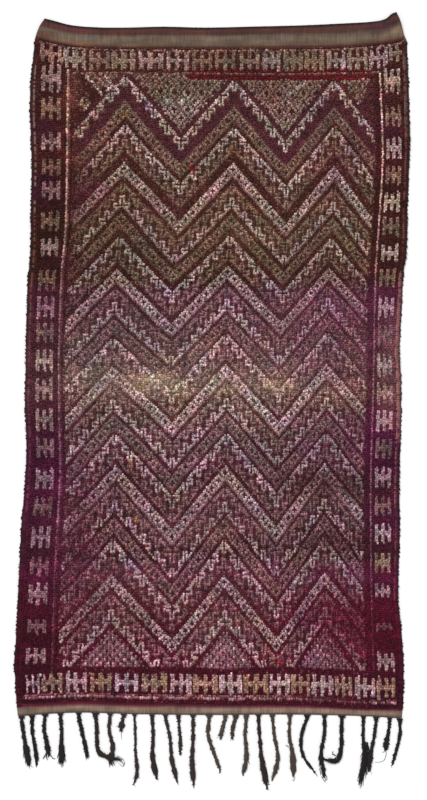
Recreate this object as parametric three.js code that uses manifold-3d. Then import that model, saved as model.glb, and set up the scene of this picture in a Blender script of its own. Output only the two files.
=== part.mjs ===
// A hand-knotted wool rug from the Middle Atlas, lying flat with its pile up.
// Units are millimetres, +X to the right across the rug, +Y along its length towards
// the plain hemmed end, +Z up. The fringed end points along -Y.
// The cloth is one solid: short pile between two thinner flat-woven ends. The dark end
// cord with the fringe knotted on it is a second solid, a hair's breadth from the cloth.

import * as THREE from 'three';
import { mergeVertices } from 'three/addons/utils/BufferGeometryUtils.js';
import Module from 'manifold-3d';

// Driving dimensions of the cloth.
const pileHeight = 9.5; // floor to the tips of the worn pile
const flatweaveHeight = 3.6; // floor to the top of the flat-woven ends
const selvedgeHeight = 5; // overcast cord along both long sides
const selvedgeWidth = 24;
const pileShoulder = 10; // run over which the pile steps up from the flat weave
const unevenness = 0.7; // how far the worn pile dips and swells
const rippleHeight = 3.5; // how far the loose long sides lift off the floor
const rippleReach = 170; // how far in from the sides the ripples run
const rippleLength = 520; // from one ripple to the next
const rippleFrom = -1330; // the ripples die out towards both ends of the rug
const rippleTo = 1500;
const rippleFade = 250;
const rippleShift = 1.3; // radians by which the right side's ripples are out of step
const partingGap = 0.35; // between the cloth's edge and the end cord

// Driving dimensions of the fringe.
const endCordWidth = 6;
const endCordHeight = 5;
const endCordBevel = 0.2; // share of its width by which its outer top edge stands back
const strandHeight = 7.5;
const strandTopShare = 0.6; // width of a strand's top as a share of its foot
const rootFlare = 1.7; // extra width, as a share, where a strand leaves the end cord
const rootStep = 0.4; // how far a strand's root stands above the end cord
const flareRun = 14; // how far down a strand the flare reaches
const looseFrom = 0.45; // share of the way down at which a strand's ply comes loose
const looseBy = 0.75;
const looseHeightShare = 0.6; // a loosened end lies flatter by this share
const tipFrom = 0.85; // share of the way down at which the tip starts to thin out
const tipShare = 0.3; // width left at the very tip
const crossingLift = 5.5; // how high a strand rises where it lies over its neighbour
const crossingTop = 0.06; // half the raised stretch, as a share of the strand
const crossingRamp = 0.08;
const strandSteps = 14;
const stepCrowding = 1.25; // above 1 the steps crowd towards the root

// Grid that the cloth's surface is worked out on.
const sideColumns = [0, 10, selvedgeWidth, 40, 75]; // distances in from each long side
const middleColumns = 18;
const pileRows = 42;
const flatweaveRows = 3;

// The long sides, from the hemmed end down: how far each stands out from the middle.
const leftSide = [
  { y: 1745, x: -759 }, { y: 1708, x: -784 }, { y: 1654, x: -803 }, { y: 1572, x: -810 },
  { y: 1499, x: -821 }, { y: 1390, x: -826 }, { y: 1244, x: -823 }, { y: 1099, x: -819 },
  { y: 880, x: -822 }, { y: 698, x: -823 }, { y: 553, x: -836 }, { y: 371, x: -842 },
  { y: 152, x: -846 }, { y: 7, x: -849 }, { y: -212, x: -842 }, { y: -394, x: -851 },
  { y: -539, x: -864 }, { y: -721, x: -873 }, { y: -903, x: -882 }, { y: -1085, x: -891 },
  { y: -1194, x: -898 }, { y: -1267, x: -892 }, { y: -1358, x: -888 }, { y: -1431, x: -881 },
];
const rightSide = [
  { y: 1773, x: 840 }, { y: 1736, x: 857 }, { y: 1677, x: 873 }, { y: 1640, x: 888 },
  { y: 1572, x: 889 }, { y: 1463, x: 895 }, { y: 1372, x: 897 }, { y: 1190, x: 900 },
  { y: 1053, x: 897 }, { y: 917, x: 891 }, { y: 698, x: 886 }, { y: 589, x: 871 },
  { y: 462, x: 866 }, { y: 325, x: 858 }, { y: 234, x: 853 }, { y: 116, x: 860 },
  { y: -102, x: 861 }, { y: -248, x: 856 }, { y: -394, x: 852 }, { y: -539, x: 855 },
  { y: -676, x: 852 }, { y: -903, x: 848 }, { y: -994, x: 857 }, { y: -1122, x: 869 },
  { y: -1267, x: 873 }, { y: -1358, x: 870 }, { y: -1436, x: 864 },
];

// Lines that cross the rug, by the share of the width from the left side: the hemmed
// edge, the pile's first and last rows of knots, and the edge that carries the end cord.
const hemmedEdge = [
  { across: 0, y: 1746 }, { across: 0.03, y: 1736 }, { across: 0.09, y: 1716 },
  { across: 0.16, y: 1707 }, { across: 0.24, y: 1706 }, { across: 0.34, y: 1710 },
  { across: 0.46, y: 1706 }, { across: 0.6, y: 1711 }, { across: 0.72, y: 1716 },
  { across: 0.83, y: 1724 }, { across: 0.93, y: 1734 }, { across: 0.96, y: 1744 },
  { across: 0.985, y: 1767 }, { across: 1, y: 1775 },
];
const pileStart = [
  { across: 0, y: 1650 }, { across: 0.05, y: 1628 }, { across: 0.1, y: 1613 },
  { across: 0.2, y: 1603 }, { across: 0.5, y: 1601 }, { across: 0.8, y: 1606 },
  { across: 0.9, y: 1617 }, { across: 0.96, y: 1630 }, { across: 1, y: 1641 },
];
const pileEnd = [
  { across: 0, y: -1381 }, { across: 0.16, y: -1367 }, { across: 0.3, y: -1373 },
  { across: 0.5, y: -1376 }, { across: 0.75, y: -1380 }, { across: 0.9, y: -1393 },
  { across: 1, y: -1393 },
];
const fringedEdge = [
  { across: 0, y: -1424 }, { across: 0.08, y: -1412 }, { across: 0.17, y: -1406 },
  { across: 0.3, y: -1413 }, { across: 0.5, y: -1417 }, { across: 0.7, y: -1415 },
  { across: 0.9, y: -1422 }, { across: 1, y: -1433 },
];

// Long shallow waves worn into the pile: millimetres per radian across and along.
const wornWaves = [
  { across: 83, along: 190 }, { across: -160, along: 71 }, { across: 47, along: 47 },
];

// The two corners of the hemmed end curl up a little where they were pulled.
const curls = [
  { x: -765, y: 1730, reach: 110, height: 7 },
  { x: 845, y: 1745, reach: 150, height: 10 },
];

// The fringe: where each warp cord leaves the edge, how far aside it has drifted a third
// of the way down, two thirds of the way down and at the foot, how far it drops, its
// width and the width of its loosened end as a share of that. A hook is the stretch past
// the foot that turns aside, and how much further it drops. Over is the share of the way
// down at which a strand lies over the next one.
const strands = [
  { root: -864, third: 7, twoThirds: 22, tip: 33, drop: 228, width: 16, end: 1.8 },
  { root: -817, third: 1, twoThirds: 15, tip: 23, drop: 228, width: 14, end: 1.3 },
  { root: -758, third: -5, twoThirds: 7, tip: 19, drop: 191, width: 14, end: 1.6 },
  { root: -688, third: 5, twoThirds: 5, tip: 10, drop: 226, width: 15, end: 1.8 },
  { root: -605, third: 11, twoThirds: 26, tip: 41, drop: 200, width: 15, end: 1.3 },
  { root: -528, third: 5, twoThirds: 6, tip: 17, drop: 180, width: 16, end: 1.1, hook: 95,
    hookDrop: 36, over: 0.86 },
  { root: -462, third: -5, twoThirds: 12, tip: 4, drop: 226, width: 14, end: 1.5 },
  { root: -400, third: -4, twoThirds: -9, tip: -11, drop: 66, width: 12, end: 1.9 },
  { root: -351, third: 4, twoThirds: 5, tip: 12, drop: 266, width: 13, end: 1.3, hook: -18,
    hookDrop: 57 },
  { root: -271, third: 5, twoThirds: 2, tip: 21, drop: 296, width: 14, end: 1.7 },
  { root: -210, third: 20, twoThirds: 29, tip: 55, drop: 309, width: 13, end: 1.7 },
  { root: -151, third: 4, twoThirds: 8, tip: 9, drop: 176, width: 11, end: 1.4 },
  { root: -85, third: 0, twoThirds: -4, tip: 4, drop: 323, width: 15, end: 1.6 },
  { root: -11, third: -6, twoThirds: 20, tip: 51, drop: 255, width: 15, end: 1.1 },
  { root: 62, third: -6, twoThirds: -14, tip: -22, drop: 102, width: 13, end: 1.3 },
  { root: 109, third: -7, twoThirds: -15, tip: -15, drop: 105, width: 13, end: 1.3 },
  { root: 157, third: -5, twoThirds: 1, tip: -15, drop: 278, width: 14, end: 1.5 },
  { root: 213, third: 6, twoThirds: 17, tip: 41, drop: 341, width: 14, end: 1.8 },
  { root: 276, third: 10, twoThirds: 25, tip: -2, drop: 303, width: 13, end: 1.5 },
  { root: 356, third: -3, twoThirds: 15, tip: 15, drop: 282, width: 13, end: 1.7 },
  { root: 434, third: -25, twoThirds: -21, tip: 37, drop: 266, width: 14, end: 1 },
  { root: 513, third: -1, twoThirds: -16, tip: 3, drop: 273, width: 14, end: 1.4 },
  { root: 592, third: -4, twoThirds: -5, tip: -15, drop: 202, width: 15, end: 1.1, hook: -54,
    hookDrop: 8 },
  { root: 690, third: -1, twoThirds: 2, tip: -18, drop: 305, width: 13, end: 1.8 },
  { root: 748, third: -8, twoThirds: -24, tip: -34, drop: 250, width: 13, end: 1.8 },
  { root: 809, third: -3, twoThirds: -12, tip: -20, drop: 150, width: 12, end: 2.2 },
  { root: 855, third: 2, twoThirds: -13, tip: -33, drop: 207, width: 13, end: 1.1 },
];

const colours = { wool: 0x4a2430, cord: 0x1f191b };

function mix(a, b, t) {
  return a + (b - a) * t;
}

function smooth(t) {
  const s = Math.min(Math.max(t, 0), 1);
  return s * s * (3 - 2 * s);
}

// Reads a table as a smooth curve: `from` and `to` name its two columns.
function read(table, from, to, at) {
  const rising = table[0][from] < table[table.length - 1][from];
  const rows = rising ? table : [...table].reverse();
  const last = rows.length - 1;
  if (at <= rows[0][from]) return rows[0][to];
  if (at >= rows[last][from]) return rows[last][to];
  const i = rows.findIndex((row, k) => k > 0 && at <= row[from]) - 1;
  const slope = (k) => {
    const before = rows[Math.max(k - 1, 0)];
    const after = rows[Math.min(k + 1, last)];
    return (after[to] - before[to]) / (after[from] - before[from]);
  };
  const span = rows[i + 1][from] - rows[i][from];
  const t = (at - rows[i][from]) / span;
  const ease = smooth(t);
  return (
    mix(rows[i][to], rows[i + 1][to], ease) +
    span * (slope(i) * t * (1 - t) ** 2 - slope(i + 1) * t * t * (1 - t))
  );
}

const leftAt = (y) => read(leftSide, 'y', 'x', y);
const rightAt = (y) => read(rightSide, 'y', 'x', y);

// How far the cloth is off the floor: curled corners and slack ripples at the sides.
function liftAt(x, y) {
  let lift = 0;
  for (const curl of curls) {
    const distance = Math.hypot(x - curl.x, y - curl.y);
    lift += curl.height * smooth(1 - distance / curl.reach);
  }
  const inset = Math.min(x - leftAt(y), rightAt(y) - x);
  const shift = x < 0 ? 0 : rippleShift;
  const wave = 0.5 - 0.5 * Math.cos((2 * Math.PI * y) / rippleLength + shift);
  const clearOfEnds =
    smooth((rippleTo - y) / rippleFade) * smooth((y - rippleFrom) / rippleFade);
  lift += rippleHeight * wave ** 2 * smooth(1 - inset / rippleReach) * clearOfEnds;
  return lift;
}

// How thick the cloth is: a low selvedge, then the pile, thin at both flat-woven ends.
function thicknessAt(x, y, across) {
  const inset = Math.min(x - leftAt(y), rightAt(y) - x);
  const fromStart = read(pileStart, 'across', 'y', across) - y;
  const fromEnd = y - read(pileEnd, 'across', 'y', across);
  const inPile = smooth(Math.min(fromStart, fromEnd) / pileShoulder + 0.5);
  const inside = smooth((inset - selvedgeWidth * 0.5) / selvedgeWidth);
  const waves = wornWaves.map((wave) => Math.sin(x / wave.across + y / wave.along));
  const worn = waves.reduce((sum, wave) => sum + wave, 0) / waves.length;
  const top = pileHeight + unevenness * worn;
  return mix(flatweaveHeight, mix(selvedgeHeight, top, inside), inPile);
}

// Shares of the width at which the grid's columns stand.
function columnShares() {
  const width = rightAt(0) - leftAt(0);
  const inner = sideColumns[sideColumns.length - 1];
  const shares = sideColumns.map((distance) => distance / width);
  for (let i = 1; i < middleColumns; i += 1) {
    shares.push(mix(inner, width - inner, i / middleColumns) / width);
  }
  return [...shares, ...sideColumns.map((distance) => 1 - distance / width).reverse()];
}

// The places of the grid's rows at one share of the width, from the fringed edge up.
function rowPlaces(across) {
  const edge = read(fringedEdge, 'across', 'y', across);
  const end = read(pileEnd, 'across', 'y', across) - pileShoulder / 2;
  const start = read(pileStart, 'across', 'y', across) + pileShoulder / 2;
  const hem = read(hemmedEdge, 'across', 'y', across);
  const places = [];
  for (let i = 0; i < flatweaveRows; i += 1) places.push(mix(edge, end, i / flatweaveRows));
  places.push(end, end + pileShoulder);
  for (let i = 1; i < pileRows; i += 1) {
    places.push(mix(end + pileShoulder, start - pileShoulder, i / pileRows));
  }
  places.push(start - pileShoulder, start);
  for (let i = 1; i <= flatweaveRows; i += 1) places.push(mix(start, hem, i / flatweaveRows));
  return places;
}

function gridPoint(across, y) {
  return { x: mix(leftAt(y), rightAt(y), across), y, across };
}

// The whole cloth as one closed body: a top grid, a bottom grid and a rim between them.
function clothGeometry() {
  const columns = columnShares();
  const grid = columns.map((across) => rowPlaces(across).map((y) => gridPoint(across, y)));
  const rowCount = grid[0].length;
  const positions = [];
  for (const side of ['bottom', 'top']) {
    for (const column of grid) {
      for (const { x, y, across } of column) {
        const lift = liftAt(x, y);
        positions.push(x, y, side === 'top' ? lift + thicknessAt(x, y, across) : lift);
      }
    }
  }
  const topOffset = columns.length * rowCount;
  const at = (i, j) => i * rowCount + j;
  const faces = [];
  for (let i = 0; i + 1 < columns.length; i += 1) {
    for (let j = 0; j + 1 < rowCount; j += 1) {
      const [a, b, c, d] = [at(i, j), at(i + 1, j), at(i + 1, j + 1), at(i, j + 1)];
      faces.push(a, c, b, a, d, c);
      faces.push(...[a, b, c, a, c, d].map((k) => k + topOffset));
    }
  }
  const rim = [];
  for (let i = 0; i + 1 < columns.length; i += 1) rim.push(at(i, 0));
  for (let j = 0; j + 1 < rowCount; j += 1) rim.push(at(columns.length - 1, j));
  for (let i = columns.length - 1; i > 0; i -= 1) rim.push(at(i, rowCount - 1));
  for (let j = rowCount - 1; j > 0; j -= 1) rim.push(at(0, j));
  rim.forEach((a, k) => {
    const b = rim[(k + 1) % rim.length];
    faces.push(a, b, b + topOffset, a, b + topOffset, a + topOffset);
  });
  return indexedGeometry(positions, faces);
}

function indexedGeometry(positions, faces) {
  const geometry = new THREE.BufferGeometry();
  geometry.setAttribute('position', new THREE.Float32BufferAttribute(positions, 3));
  geometry.setIndex(faces);
  return geometry;
}

// A closed loft through four-cornered sections, each given as its four corners in turn.
function loftGeometry(sections) {
  const positions = sections.flat(2);
  const faces = [];
  for (let i = 0; i + 1 < sections.length; i += 1) {
    for (let k = 0; k < 4; k += 1) {
      const [a, b] = [4 * i + k, 4 * i + ((k + 1) % 4)];
      faces.push(a, b, b + 4, a, b + 4, a + 4);
    }
  }
  const last = 4 * (sections.length - 1);
  faces.push(0, 2, 1, 0, 3, 2, last, last + 1, last + 2, last, last + 2, last + 3);
  return indexedGeometry(positions, faces);
}

// The dark cord along the fringed edge, worked out from the right side to the left.
function endCordGeometry() {
  const sections = columnShares()
    .reverse()
    .map((across) => {
      const edge = read(fringedEdge, 'across', 'y', across);
      const { x } = gridPoint(across, edge);
      const near = edge - partingGap;
      const far = near - endCordWidth;
      return [
        [x, near, 0],
        [x, far, 0],
        [x, mix(far, near, endCordBevel), endCordHeight],
        [x, near, endCordHeight],
      ];
    });
  return loftGeometry(sections);
}

// One warp cord: four-sided, level on the floor, flared at its root, loose at its end.
function strandGeometry(strand) {
  const { y: cornerY } = fringedEdge[0];
  const left = leftAt(cornerY);
  const across = (strand.root - left) / (rightAt(cornerY) - left);
  const rootY = read(fringedEdge, 'across', 'y', across) - partingGap - endCordWidth / 2;
  const places = [
    { aside: 0, down: 0 },
    { aside: 0, down: flareRun },
    { aside: strand.third, down: strand.drop / 3 },
    { aside: strand.twoThirds, down: (strand.drop * 2) / 3 },
    { aside: strand.tip, down: strand.drop },
  ];
  if (strand.hook) {
    places.push({ aside: strand.tip + strand.hook, down: strand.drop + strand.hookDrop });
  }
  const path = new THREE.CatmullRomCurve3(
    places.map(({ aside, down }) => new THREE.Vector3(strand.root + aside, rootY - down, 0)),
    false,
    'centripetal',
  );
  const sections = [];
  for (let i = 0; i <= strandSteps; i += 1) {
    const t = (i / strandSteps) ** stepCrowding;
    const point = path.getPointAt(t);
    const along = path.getTangentAt(t);
    const down = t * path.getLength();
    const flare = 1 + rootFlare * smooth(1 - down / flareRun);
    const loose = smooth((t - looseFrom) / (looseBy - looseFrom));
    const taper = mix(1, tipShare, smooth((t - tipFrom) / (1 - tipFrom)));
    const half = (strand.width / 2) * flare * mix(1, strand.end, loose) * taper;
    const top = half * strandTopShare;
    const rise = mix(endCordHeight + rootStep, strandHeight, smooth(down / (2 * flareRun)));
    const height = rise * mix(1, looseHeightShare, loose);
    const fromCrossing = Math.abs(t - (strand.over ?? Infinity)) - crossingTop;
    const crossing = crossingLift * smooth(1 - fromCrossing / crossingRamp);
    const corner = (aside, z) => [point.x + along.y * aside, point.y - along.x * aside, z];
    sections.push([
      corner(half, crossing),
      corner(-half, crossing),
      corner(-top, crossing + height),
      corner(top, crossing + height),
    ]);
  }
  return loftGeometry(sections);
}

// Joins closed geometries that run into each other into one closed body.
async function joined(geometries) {
  const wasm = await Module();
  wasm.setup();
  let solid = null;
  for (const source of geometries) {
    const geometry = mergeVertices(source);
    const mesh = new wasm.Mesh({
      numProp: 3,
      vertProperties: new Float32Array(geometry.attributes.position.array),
      triVerts: new Uint32Array(geometry.index.array),
    });
    const piece = new wasm.Manifold(mesh);
    solid = solid ? solid.add(piece) : piece;
  }
  const { vertProperties, triVerts } = solid.getMesh();
  return indexedGeometry(Array.from(vertProperties), Array.from(triVerts));
}

function part(name, geometry, color) {
  const material = new THREE.MeshStandardMaterial({ color, roughness: 0.95, metalness: 0 });
  const mesh = new THREE.Mesh(geometry, material);
  mesh.name = name;
  return mesh;
}

const fringe = await joined([endCordGeometry(), ...strands.map(strandGeometry)]);
const rug = new THREE.Group();
rug.add(part('rug', clothGeometry(), colours.wool));
rug.add(part('fringe', fringe, colours.cord));

// The origin is on the floor under the middle of the whole outline.
const outline = new THREE.Box3().setFromObject(rug);
const middle = outline.getCenter(new THREE.Vector3());
rug.position.set(-middle.x, -middle.y, -outline.min.z);

export default rug;
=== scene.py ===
import math

import bpy
import numpy as np
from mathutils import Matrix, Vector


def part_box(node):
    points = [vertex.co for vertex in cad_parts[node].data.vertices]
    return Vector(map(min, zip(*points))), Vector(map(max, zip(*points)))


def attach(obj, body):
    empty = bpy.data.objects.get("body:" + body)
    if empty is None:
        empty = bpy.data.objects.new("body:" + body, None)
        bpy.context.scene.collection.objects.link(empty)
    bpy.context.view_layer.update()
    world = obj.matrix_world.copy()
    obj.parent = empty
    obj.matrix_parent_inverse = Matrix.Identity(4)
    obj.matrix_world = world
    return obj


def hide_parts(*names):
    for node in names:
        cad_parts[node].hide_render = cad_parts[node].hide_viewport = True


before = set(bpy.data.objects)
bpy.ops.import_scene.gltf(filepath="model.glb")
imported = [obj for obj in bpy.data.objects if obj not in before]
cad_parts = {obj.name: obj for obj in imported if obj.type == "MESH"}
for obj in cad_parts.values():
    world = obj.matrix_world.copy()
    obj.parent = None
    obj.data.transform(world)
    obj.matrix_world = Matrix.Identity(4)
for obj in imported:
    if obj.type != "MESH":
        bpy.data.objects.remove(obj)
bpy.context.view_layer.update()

# The rug is worked out in millimetres and turned into metres in the mesh code. The floor, the
# light and the camera are in metres.
MM = 0.001
random = np.random.default_rng(20611)

# The cloth's outline and heights, as in the part's source. The points of the outline were picked
# from edge places that a scratch program read off the photo.
PILE_HEIGHT = 9.5
FLATWEAVE_HEIGHT = 3.6
SELVEDGE_WIDTH = 24.0
PILE_SHOULDER = 10.0
UNEVENNESS = 0.7
RIPPLE_HEIGHT = 3.5
RIPPLE_REACH = 170.0
RIPPLE_LENGTH = 520.0
RIPPLE_FROM = -1330.0
RIPPLE_TO = 1500.0
RIPPLE_FADE = 250.0
RIPPLE_SHIFT = 1.3
PARTING_GAP = 0.35
END_CORD_WIDTH = 6.0
END_CORD_HEIGHT = 5.0

# The sides: place along the rug, then how far from the middle line.
LEFT_SIDE = [
    (1745, -759), (1708, -784), (1654, -803), (1572, -810), (1499, -821), (1390, -826),
    (1244, -823), (1099, -819), (880, -822), (698, -823), (553, -836), (371, -842),
    (152, -846), (7, -849), (-212, -842), (-394, -851), (-539, -864), (-721, -873),
    (-903, -882), (-1085, -891), (-1194, -898), (-1267, -892), (-1358, -888), (-1431, -881),
]
RIGHT_SIDE = [
    (1773, 840), (1736, 857), (1677, 873), (1640, 888), (1572, 889), (1463, 895),
    (1372, 897), (1190, 900), (1053, 897), (917, 891), (698, 886), (589, 871), (462, 866),
    (325, 858), (234, 853), (116, 860), (-102, 861), (-248, 856), (-394, 852), (-539, 855),
    (-676, 852), (-903, 848), (-994, 857), (-1122, 869), (-1267, 873), (-1358, 870),
    (-1436, 864),
]
# Lines across the rug: share of the width, then the place along the rug.
HEMMED_EDGE = [
    (0, 1746), (0.03, 1736), (0.09, 1716), (0.16, 1707), (0.24, 1706), (0.34, 1710),
    (0.46, 1706), (0.6, 1711), (0.72, 1716), (0.83, 1724), (0.93, 1734), (0.96, 1744),
    (0.985, 1767), (1, 1775),
]
PILE_START = [
    (0, 1650), (0.05, 1628), (0.1, 1613), (0.2, 1603), (0.5, 1601), (0.8, 1606),
    (0.9, 1617), (0.96, 1630), (1, 1641),
]
PILE_END = [
    (0, -1381), (0.16, -1367), (0.3, -1373), (0.5, -1376), (0.75, -1380), (0.9, -1393),
    (1, -1393),
]
FRINGED_EDGE = [
    (0, -1424), (0.08, -1412), (0.17, -1406), (0.3, -1413), (0.5, -1417), (0.7, -1415),
    (0.9, -1422), (1, -1433),
]
# Slow waves in the pile's height, by how long they are across and along, and the two curled
# corners: x, y, reach, height.
WORN_WAVES = [(83, 190), (-160, 71), (47, 47)]
CURLS = [(-765, 1730, 110, 7), (845, 1745, 150, 10)]


def mix(a, b, t):
    return a + (b - a) * t


def smooth(t):
    s = np.clip(t, 0, 1)
    return s * s * (3 - 2 * s)


def read(table, at):
    """Reads a table of (place, value) pairs as a smooth curve."""
    places, values = np.array(sorted(table), float).T
    last = len(places) - 1
    before = np.maximum(np.arange(last + 1) - 1, 0)
    after = np.minimum(np.arange(last + 1) + 1, last)
    slopes = (values[after] - values[before]) / (places[after] - places[before])
    at = np.clip(np.asarray(at, float), places[0], places[-1])
    i = np.clip(np.searchsorted(places, at) - 1, 0, last - 1)
    span = places[i + 1] - places[i]
    t = (at - places[i]) / span
    bend = slopes[i] * t * (1 - t) ** 2 - slopes[i + 1] * t * t * (1 - t)
    return mix(values[i], values[i + 1], smooth(t)) + span * bend


def read_each(table, at):
    """Reads a table with several values at each place: one curve for each of them."""
    places, *columns = zip(*table)
    return [read(list(zip(places, values)), at) for values in columns]


def left_at(y):
    return read(LEFT_SIDE, y)


def right_at(y):
    return read(RIGHT_SIDE, y)


def lift_at(x, y):
    """How far the cloth is off the floor: curled corners and slack ripples at the sides."""
    lift = np.zeros(np.broadcast(x, y).shape)
    for curl_x, curl_y, reach, height in CURLS:
        lift = lift + height * smooth(1 - np.hypot(x - curl_x, y - curl_y) / reach)
    inset = np.minimum(x - left_at(y), right_at(y) - x)
    shift = np.where(x < 0, 0, RIPPLE_SHIFT)
    wave = 0.5 - 0.5 * np.cos(2 * math.pi * y / RIPPLE_LENGTH + shift)
    clear_of_ends = smooth((RIPPLE_TO - y) / RIPPLE_FADE) * smooth((y - RIPPLE_FROM) / RIPPLE_FADE)
    return lift + RIPPLE_HEIGHT * wave**2 * smooth(1 - inset / RIPPLE_REACH) * clear_of_ends


def pile_share(y, across):
    """1 in the pile, 0 in the flat-woven ends."""
    from_start = read(PILE_START, across) - y
    from_end = y - read(PILE_END, across)
    return smooth(np.minimum(from_start, from_end) / PILE_SHOULDER + 0.5)


def pile_top(x, y):
    worn = sum(np.sin(x / a + y / b) for a, b in WORN_WAVES) / len(WORN_WAVES)
    return PILE_HEIGHT + UNEVENNESS * worn


# The solid's origin is under the middle of the outline, the tables' is not quite.
_, solid_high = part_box("rug")
SHIFT_X = solid_high[0] / MM - max(x for _, x in RIGHT_SIDE)
SHIFT_Y = solid_high[1] / MM - HEMMED_EDGE[-1][1]


def metres(points):
    points = np.array(points, float)
    points[..., 0] += SHIFT_X
    points[..., 1] += SHIFT_Y
    return points * MM


# The knots: 219 along a row, 345 rows from the hemmed end down.
COLUMNS = 219
ROWS = 345
# These columns, and where they stand at each place along the rug, as measured in the photo.
WARP_COLUMNS = [16, 47, 79, 111, 143, 175, 204]
WARP_LINES = [
    (1604, -653, -390, -136, 103, 339, 554, 758),
    (1190, -656, -394, -139, 102, 336, 557, 778),
    (826, -664, -413, -147, 87, 339, 550, 758),
    (594, -683, -431, -175, 74, 328, 533, 745),
    (139, -695, -453, -183, 64, 307, 522, 736),
    (-100, -692, -443, -178, 70, 306, 521, 730),
    (-316, -689, -436, -179, 63, 297, 512, 724),
    (-826, -715, -455, -179, 57, 294, 514, 726),
    (-1376, -728, -461, -182, 75, 296, 522, 742),
]
# Rows, and where they cross the five middle columns. A scratch program made the first numbers
# from shifts that it measured between photo and render, and they were revised from more of them.
ROW_LINES = [
    (0, 1604, 1604, 1604, 1604, 1604),
    (14, 1504, 1488, 1484, 1480, 1482),
    (35, 1337, 1312, 1315, 1302, 1314),
    (51, 1198, 1178, 1190, 1168, 1189),
    (67, 1068, 1057, 1064, 1047, 1050),
    (83, 948, 928, 938, 915, 918),
    (99, 823, 799, 819, 789, 802),
    (113, 699, 694, 705, 688, 696),
    (127, 582, 589, 597, 583, 591),
    (143, 455, 461, 470, 461, 473),
    (159, 321, 333, 340, 342, 347),
    (171, 225, 243, 241, 246, 245),
    (182, 137, 151, 149, 153, 151),
    (198, 13, 14, 18, 17, 22),
    (214, -115, -117, -110, -115, -108),
    (225, -211, -209, -209, -202, -206),
    (236, -314, -306, -314, -295, -306),
    (252, -457, -457, -461, -445, -448),
    (268, -610, -608, -616, -595, -601),
    (278, -713, -704, -717, -697, -704),
    (288, -811, -804, -815, -796, -801),
    (304, -960, -962, -964, -952, -949),
    (320, -1117, -1108, -1124, -1102, -1110),
    (332, -1236, -1234, -1240, -1232, -1236),
    (344, -1358, -1360, -1362, -1362, -1362),
]
PEAKS = (47, 111, 175)
START_FADE = 55
END_FADE = 45
START_SHIFT = 10.0
# How much lower the rows hang at the two sides, over so many columns: row, then millimetres,
# from measured shifts.
LEFT_DROP_REACH = 31
RIGHT_DROP_REACH = 29
LEFT_DROP = [
    (0, 0), (12, 4), (30, 32), (75, 31), (92, 37), (112, 33), (135, 21), (160, 17),
    (210, 16), (240, 9), (275, 0), (344, 0),
]
RIGHT_DROP = [
    (0, 0), (12, 6), (30, 46), (60, 46), (100, 42), (125, 28), (145, 14), (165, 11),
    (210, 8), (235, 3), (344, 2),
]


def knot_place(c, r):
    """Where the knot at column c of row r stands."""
    c, r = np.broadcast_arrays(np.asarray(c, float), np.asarray(r, float))
    heights = read_each(ROW_LINES, r)
    y = heights[0]
    for k in range(4):
        t = (c - WARP_COLUMNS[k + 1]) / (WARP_COLUMNS[k + 2] - WARP_COLUMNS[k + 1])
        y = np.where(t > 0, mix(heights[k], heights[k + 1], np.clip(t, 0, 1)), y)
    left = left_at(y) + SELVEDGE_WIDTH
    right = right_at(y) - SELVEDGE_WIDTH
    lines = read_each(WARP_LINES, y)
    stops = [left, *lines, right]
    columns = [-0.5, *WARP_COLUMNS, COLUMNS - 0.5]
    x = np.zeros(y.shape)
    for k in range(len(columns) - 1):
        t = (c - columns[k]) / (columns[k + 1] - columns[k])
        x = np.where((t >= 0) & (t <= 1), mix(stops[k], stops[k + 1], t), x)
    across = (x - left + SELVEDGE_WIDTH) / (right - left + 2 * SELVEDGE_WIDTH)
    start = read(PILE_START, across) + START_SHIFT - ROW_LINES[0][1]
    end = read(PILE_END, across) - read(PILE_END, 0.5)
    y = y + start * smooth(1 - r / START_FADE) + end * smooth(1 - (ROWS - 1 - r) / END_FADE)
    y = y - np.clip((PEAKS[0] - c) / LEFT_DROP_REACH, 0, 1) * read(LEFT_DROP, r)
    y = y - np.clip((c - PEAKS[2]) / RIGHT_DROP_REACH, 0, 1) * read(RIGHT_DROP, r)
    return x, y


GROUND, LIGHT, DIM, GOLD, RED, DEEP, PURPLE, PALE = range(8)
FIELD = (20, 200)
FIELD_END = 329
FIRST_STEP = -40
# From the head down: the step where each band ends, its form, its wool, and the step at which
# its middle or its first line stands. The hooked lines have wools of their own.
HEAD_BANDS = [
    (13, "lattice", DIM, 10), (15, "plain", PURPLE, 0), (25, "hooks_top", LIGHT, 17),
    (31, "plain", PURPLE, 0), (40, "ladder", DIM, 35), (42, "plain", DEEP, 0),
]
# Below them eight bands repeat: where each of them ends, then where the four figured ones stand.
ROUND = [
    ("hooks_down", LIGHT), ("plain", GROUND), ("ladder", LIGHT), ("plain", DEEP),
    ("hooks_up", LIGHT), ("plain", DEEP), ("ladder", DIM), ("plain", DEEP),
]
ROUND_STEPS = [
    ((58, 64, 72, 73, 92, 94, 102, 106), (43, 67, 76, 97)),
    ((120, 124, 132, 133, 150, 152, 160, 162), (106, 127, 135, 155)),
    ((176, 179, 187, 188, 205, 207, 215, 217), (162, 182, 190, 210)),
    ((230, 233, 241, 242, 256, 259, 266, 268), (217, 236, 243, 262)),
    ((281, 285, 291, 294, 308, 311), (269, 288, 294)),
]
FOOT_BAND = (400, "eyelets", LIGHT, 311)


def all_bands():
    """Each band: from step, to step, form, wool, line. Ladders come last, over the others."""
    bands = list(HEAD_BANDS)
    for ends, lines in ROUND_STEPS:
        for k, end in enumerate(ends):
            bands.append((end, *ROUND[k], 0 if k % 2 else lines[k // 2]))
    bands.append(FOOT_BAND)
    starts = [FIRST_STEP, *(band[0] for band in bands)]
    bands = [(start, *band) for start, band in zip(starts, bands)]
    return sorted(bands, key=lambda band: band[2] == "ladder")


DIAMOND = 8
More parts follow.
